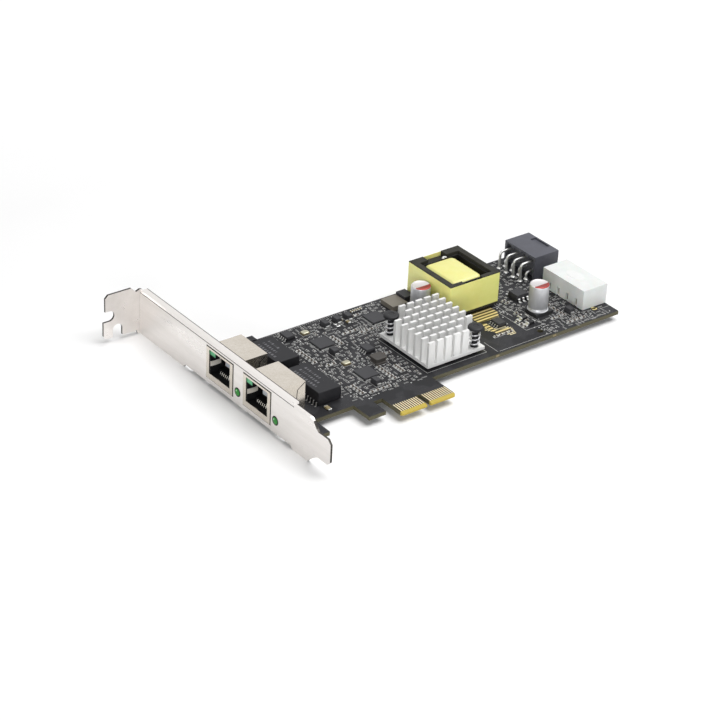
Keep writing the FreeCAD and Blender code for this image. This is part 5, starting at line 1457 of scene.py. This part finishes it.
@dataclass
class Headers:
    """The gray eight-way and the white four-way wire headers."""

    frame: dict
    square_half: float = 0.44
    round_radius: float = 0.95
    tail_radius: float = 0.65

    def build(self) -> None:
        """Dress the housings and form the pins."""
        dress(self.frame, "power_header_housing", GRAY_NYLON)
        dress(self.frame, "signal_header_housing", WHITE_NYLON)
        dress(self.frame, "signal_header_sticker", PAPER)
        self.power_pins()
        self.signal_pins()

    def power_pins(self) -> None:
        """Bent square pins: each leaves its cell, runs back, and turns down into the board."""
        shape = Shape()
        node = "power_header_pins"
        section = self.square_half * np.array([(-0.7, -1), (0.7, -1), (1, -0.7), (1, 0.7), (0.7, 1),
                                               (-0.7, 1), (-1, 0.7), (-1, -0.7)])
        for centre, half in zip(*islands(self.frame, node)):
            y, height = centre[1], 2 * half[2] - TAIL_INSETS[node]
            tip, tail = centre[0] + half[0], centre[0] - half[0] + TAIL_INSETS[node]
            route = np.array([(tip, y, height), (tail, y, height), (tail, y, -2.4)])
            shape.add(*swept(section, arc_path(route, 1.6, 8), (0, 1, 0)))
        shape.piece("power_pins_bent", TIN, 50, (node,))

    def signal_pins(self) -> None:
        """Round pins: a thick run to the tip and a thinner tail down through the board."""
        shape = Shape()
        node = "signal_header_pins"
        for centre, half in zip(*islands(self.frame, node)):
            y, end, height = centre[1], centre[0] - half[0], 2 * half[2] - 1.0
            tip, tail = centre[0] + half[0], end + TAIL_INSETS[node]
            run = np.array([(tip, y, height), (tip - 0.3, y, height), (end + 1.1, y, height)])
            drop = np.array([(tail, y, height), (tail, y, 0.0), (tail, y, -1.5)])
            shape.add(*swept(wire(self.round_radius, 16), run, (0, 1, 0)))
            shape.add(*swept(wire(self.tail_radius, 16), drop, (0, 1, 0)))
        shape.piece("signal_pins_bent", DARK_BROWN_PINS, 50, (node,))


@dataclass
class Joints:
    """Solder fillets where pins go through the board: a cone on each face round every pin."""

    frame: dict
    under: float = -1.57

    def build(self) -> None:
        """Cones at the header pins on both faces, and under the transformer's and sockets' pins."""
        shape = Shape()
        feet = []
        for node, inset in TAIL_INSETS.items():
            for centre, half in zip(*islands(self.frame, node)):
                feet.append((centre[0] - half[0] + inset, centre[1]))
        for x, y in feet:
            shape.add(*turned([(1.0, 0.0), (0.72, 0.25), (0.55, 0.6)], (x, y, 0), 16))
        feet += [(x, y) for x, y, _ in islands(self.frame, "transformer_pins")[0]]
        for number in (1, 2):
            low, high = node_box(f"socket_{number}_shield")
            for index, y in enumerate(np.linspace(low[1] + 3.2, high[1] - 3.2, 8)):
                feet.append((high[0] - 3.0 - 2.5 * (index % 2), y))
        fillet = [(0.25, self.under - 0.9), (0.45, self.under - 0.55), (0.95, self.under)]
        for x, y in feet:
            shape.add(*turned(fillet, (x, y, 0), 16))
        shape.piece("solder_joints", SOLDER, 40)


@dataclass
class SmallParts:
    """Packages, crystals, diodes, coil, blocks and chip parts."""

    frame: dict

    def build(self) -> None:
        """Build every group of small parts from its CAD solids' boxes."""
        self.leaded()
        self.leadless()
        self.crystals()
        self.diodes()
        self.coil()
        self.chip_parts()
        self.bridge()
        dress(self.frame, "tall_block", EPOXY_MOULD)
        dress(self.frame, "pale_block", CERAMIC_BEIGE)
        dress(self.frame, "magnetics_block", MODULE_MOULD)

    def leaded(self) -> None:
        """Drafted epoxy bodies, and the gull leads of each."""
        shape = Shape()
        for centre, half in zip(*islands(self.frame, "leaded_packages")):
            low, high = centre - half, centre + half
            shape.add(*moulded(low, high, 0.12, 2, [
                (low[2], 0.18), (centre[2], 0), (centre[2] + 0.08, 0), (high[2], 0.22)]))
        shape.piece("leaded_bodies", EPOXY_MOULD, 25, ("leaded_packages",))
        centres, halves = islands(self.frame, "package_leads")
        bodies = islands(self.frame, "leaded_packages")[0]
        nearest = np.linalg.norm(centres[:, None, :2] - bodies[None, :, :2], axis=2).argmin(1)
        for index, body in enumerate(bodies):
            mine = nearest == index
            stands_for = ("package_leads",) if index == 0 else ()
            Leads().build(f"package_leads_{index}", centres[mine], halves[mine], body[0],
                          stands_for, 0.75)

    def leadless(self) -> None:
        """Flat epoxy bodies with a row of pads along each edge."""
        bodies, pads = Shape(), Shape()
        for centre, half in zip(*islands(self.frame, "leadless_packages")):
            low, high = centre - half, centre + half
            bodies.add(*moulded(low, high, 0.1, 2, [(low[2] + 0.02, 0.02), (high[2] - 0.12, 0.0),
                                                    (high[2], 0.1)]))
            offsets = np.linspace(-half[0] + 0.7, half[0] - 0.7, 12)
            for side in (-1, 1):
                beside = np.full(12, centre[1] + side * (half[1] + 0.12))
                rows = np.column_stack([centre[0] + offsets, beside, np.full(12, 0.09)])
                pads.add(*blocks(rows, (0.13, 0.3, 0.09), 0.03))
                rows = rows[:, [1, 0, 2]] - (centre[1], centre[0], 0) + (centre[0], centre[1], 0)
                pads.add(*blocks(rows, (0.3, 0.13, 0.09), 0.03))
        bodies.piece("leadless_bodies", EPOXY_MOULD, 25, ("leadless_packages",))
        pads.piece("leadless_pads", SOLDER)

    def bridge(self) -> None:
        """The thick package by the gray header: drafted body and broad bent leads to -Y and +Y."""
        low, high = node_box("bridge_body")
        middle = 0.5 * (low[2] + high[2])
        body = moulded(low, high, 0.15, 2, [(low[2], 0.2), (middle, 0.0), (middle + 0.1, 0.0),
                                            (high[2] - 0.08, 0.2), (high[2], 0.3)])
        Shape().add(*body).piece("thick_package", EPOXY_MOULD, 25, ("bridge_body",))
        shape = Shape()
        t = 0.14
        for centre, half in zip(*islands(self.frame, "bridge_leads")):
            out = 1.0 if centre[1] > 0.5 * (low[1] + high[1]) else -1.0
            root, tip = centre[1] - out * (half[1] + 0.2), centre[1] + out * half[1]
            x, rise = centre[0], 2 * half[2] - t
            route = np.array([(x, root, rise), (x, root + out * 0.55, rise), (x, root + out * 0.75, t),
                              (x, tip, t)])
            shape.add(*swept(strip(half[0], t), arc_path(route, 0.12, 4), (1, 0, 0)))
        shape.piece("thick_package_leads", TIN, 40, ("bridge_leads",))

    def crystals(self) -> None:
        """Ceramic bases with rounded, raised bright lids."""
        lids, bases = Shape(), Shape()
        for centre, half in zip(*islands(self.frame, "crystals")):
            low, high = centre - half, centre + half
            seat, top = centre[2], high[2]
            bases.add(*moulded(low, high, 0.3, 4, [(low[2], 0.02), (seat, 0.0), (seat + 0.1, 0.1)]))
            lids.add(*moulded(low + 0.15, high - 0.15, 0.6, 5, [
                (seat, 0.0), (top - 0.12, 0.0), (top - 0.03, 0.08), (top, 0.25)]))
        bases.piece("crystal_bases", CERAMIC_BASE, 30, ("crystals",))
        lids.piece("crystal_lids", KOVAR_LID, 40)

    def diodes(self) -> None:
        """Drafted diode bodies with a bent tab at each end."""
        bodies, tabs = Shape(), Shape()
        for centre, half in zip(*islands(self.frame, "diodes")):
            bodies.add(*block(centre - half + (0, 0.35, 0.1), centre + half - (0, 0.35, 0), 0.12, 0.08))
            for side in (-1, 1):
                tabs.add(*upright(centre[0], centre[1] + side * (half[1] - 0.2), 0.8, 0.2, 0.9, 0.06))
        bodies.piece("diode_bodies", EPOXY_MOULD, 0, ("diodes",))
        tabs.piece("diode_tabs", SOLDER)

    def coil(self) -> None:
        """A squat inductor: flanges with a resin-filled winding between them."""
        low, high = node_box("power_coil")
        top = high[2]
        core = moulded(low, high, 0.9, 5, [(0.0, 0.1), (0.5, 0.0), (0.7, 0.35), (top - 0.75, 0.4),
                                           (top - 0.55, 0.0), (top - 0.12, 0.0), (top, 0.2)])
        Shape().add(*core).piece("coil_core", COIL_RESIN, 30, ("power_coil",))
        caps = Shape()
        for x in (low[0] + 0.45, high[0] - 0.45):
            caps.add(*upright(x, (low[1] + high[1]) / 2, 0.45, 1.4, 0.35, 0.05))
        caps.piece("coil_pads", SOLDER)

    def chip_parts(self) -> None:
        """Chip part bodies and end caps with softened edges, and a solder fillet at each end."""
        centres, halves = islands(self.frame, "chip_part_bodies")
        bodies = Shape().add(*blocks(centres, halves - (0, 0.02, 0.02), 0.03))
        bodies.piece("chip_bodies", CERAMIC_TAN, 0, ("chip_part_bodies",))
        caps, cap_halves = islands(self.frame, "chip_part_caps")
        Shape().add(*blocks(caps, cap_halves, 0.06)).piece("chip_caps", SOLDER, 0, ("chip_part_caps",))
        nearest = np.abs(caps[None, :, :2] - centres[:, None, :2]).sum(2).argmin(0)
        outward = np.sign(caps[:, 0] - centres[nearest, 0])
        feet = at_height(caps + np.outer(outward, (0.3, 0, 0)), 0.08)
        Shape().add(*blocks(feet, (0.22, 0.36, 0.08), 0.06)).piece("chip_fillets", SOLDER)


# --------------------------------------------------------------------------- studio


@dataclass(frozen=True)
class Lamp:
    """A square area light: its place in mm, its power in watts and its width in metres."""

    name: str
    place: Triple
    power: float
    width: float


@dataclass
class Studio:
    """Pale floor, soft lights and the camera at the photograph's angle."""

    floor_z: float = -3.96
    camera_place: Triple = (-478.873, -557.076, 444.604)
    azimuth: float = -129.469
    elevation: float = 29.950
    roll: float = 3.290
    focal_pixels: float = 2408.1
    middle: Pair = (389.0, 349.0)
    picture: int = 720
    sensor: float = 36.0
    floor_size: float = 4000.0
    paper: tuple[str, str] = ("#F6F6F6", "#F3F3F3")
    glow: Pair = (0.04, 0.6)
    glow_reach: Pair = (0.22, 0.75)
    ambient: float = 0.13
    backdrop: float = 1.0
    aim: Triple = (0.0, 0.04, 0.0)
    lamps: tuple[Lamp, ...] = (
        Lamp("key", (290, -60, 790), 9.0, 0.8),
        Lamp("fill_front", (-570, -700, 120), 6.2, 0.6),
        Lamp("fill_left", (-900, 150, 120), 2.6, 0.6),
    )

    def build(self) -> None:
        """Set up the whole studio."""
        self.floor()
        self.world()
        self.lights()
        self.camera()
        bpy.context.scene.view_settings.view_transform = "Standard"

    def floor(self) -> None:
        """A wide plane that keeps the shadow and reads as white to the camera."""
        corners = [(-1, -1), (1, -1), (1, 1), (-1, 1)]
        points = at_height(self.floor_size * np.array(corners), self.floor_z)
        mesh = bpy.data.meshes.new("studio_floor")
        mesh.from_pydata((points * MM).tolist(), [], [(0, 1, 2, 3)])
        made = bpy.data.materials.new("white_paper_sweep")
        made.use_nodes = True
        tree = made.node_tree
        shader = tree.nodes["Principled BSDF"]
        shader.inputs["Roughness"].default_value = 0.9
        shader.inputs["Specular IOR Level"].default_value = 0.0
        tree.links.new(tint(tree, speckle(tree, 40.0), *self.paper), shader.inputs["Base Color"])
        away = add(tree, "ShaderNodeVectorMath", {"operation": "LENGTH"}, {
            0: add(tree, "ShaderNodeTexCoord").outputs["Object"]})
        strength = between(tree, away.outputs["Value"], *self.glow, *self.glow_reach)
        glow = add(tree, "ShaderNodeEmission", None, {"Color": (1, 1, 1, 1), "Strength": strength})
        both = add(tree, "ShaderNodeAddShader", None, {0: shader.outputs[0], 1: glow.outputs[0]})
        pick = add(tree, "ShaderNodeMixShader", None, {
            0: rays(tree, "Camera", "Glossy"), 1: shader.outputs[0], 2: both.outputs[0]})
        tree.links.new(pick.outputs[0], tree.nodes["Material Output"].inputs["Surface"])
        mesh.materials.append(made)
        item = put("studio_floor", mesh)

    def world(self) -> None:
        """Even pale light, and plain white to the camera and to reflections."""
        world = bpy.data.worlds.new("studio_world")
        bpy.context.scene.world = world
        world.use_nodes = True
        tree = world.node_tree
        tree.nodes.clear()
        light, white = (
            add(tree, "ShaderNodeBackground", None, {"Color": (1, 1, 1, 1), "Strength": strength})
            for strength in (self.ambient, self.backdrop))
        direct = rays(tree, "Camera", "Glossy", "Transmission")
        pick = add(tree, "ShaderNodeMixShader", None, {
            0: direct, 1: light.outputs[0], 2: white.outputs[0]})
        out = add(tree, "ShaderNodeOutputWorld")
        tree.links.new(pick.outputs[0], out.inputs["Surface"])

    def lights(self) -> None:
        """A broad key from above and behind, and two low fills that light the upright faces."""
        for each in self.lamps:
            data = bpy.data.lights.new(each.name, "AREA")
            data.energy = each.power
            data.size = each.width
            lamp = put(each.name, data)
            lamp.location = Vector(each.place) * MM
            lamp.rotation_euler = (Vector(self.aim) - lamp.location).to_track_quat("-Z", "Y").to_euler()

    def camera(self) -> None:
        """The camera: its place, its direction by two angles and a roll, and its lens."""
        data = bpy.data.cameras.new("camera")
        data.sensor_width = self.sensor
        data.lens = self.focal_pixels * self.sensor / self.picture
        data.shift_x = (self.picture / 2 - self.middle[0]) / self.picture
        data.shift_y = (self.middle[1] - self.picture / 2) / self.picture
        data.clip_start = 0.01
        data.clip_end = 20
        azimuth, elevation, roll = np.radians([self.azimuth, self.elevation, self.roll])
        flat = np.cos(elevation)
        back = Vector((flat * np.cos(azimuth), flat * np.sin(azimuth), np.sin(elevation)))
        level = Vector((-np.sin(azimuth), np.cos(azimuth), 0))
        upright = back.cross(level)
        right = level * np.cos(roll) + upright * np.sin(roll)
        up = back.cross(right)
        turn = Matrix((right, up, back)).transposed().to_4x4()
        item = put("camera", data)
        item.matrix_world = Matrix.Translation(Vector(self.camera_place) * MM) @ turn
        bpy.context.scene.camera = item


def main() -> None:
    """Build the card's looks around its frame."""
    logging.basicConfig(level=logging.INFO, format="%(message)s")
    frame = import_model()
    Studio().build()
    Board(frame).build()
    Bracket(frame).build()
    for number in (1, 2):
        Socket(frame, number).build()
        Module(frame, number).build()
        CanCapacitor(frame, number).build()
    HeatSink(frame).build()
    Transformer(frame).build()
    Headers(frame).build()
    Joints(frame).build()
    SmallParts(frame).build()


if __name__ == "__main__":
    main()
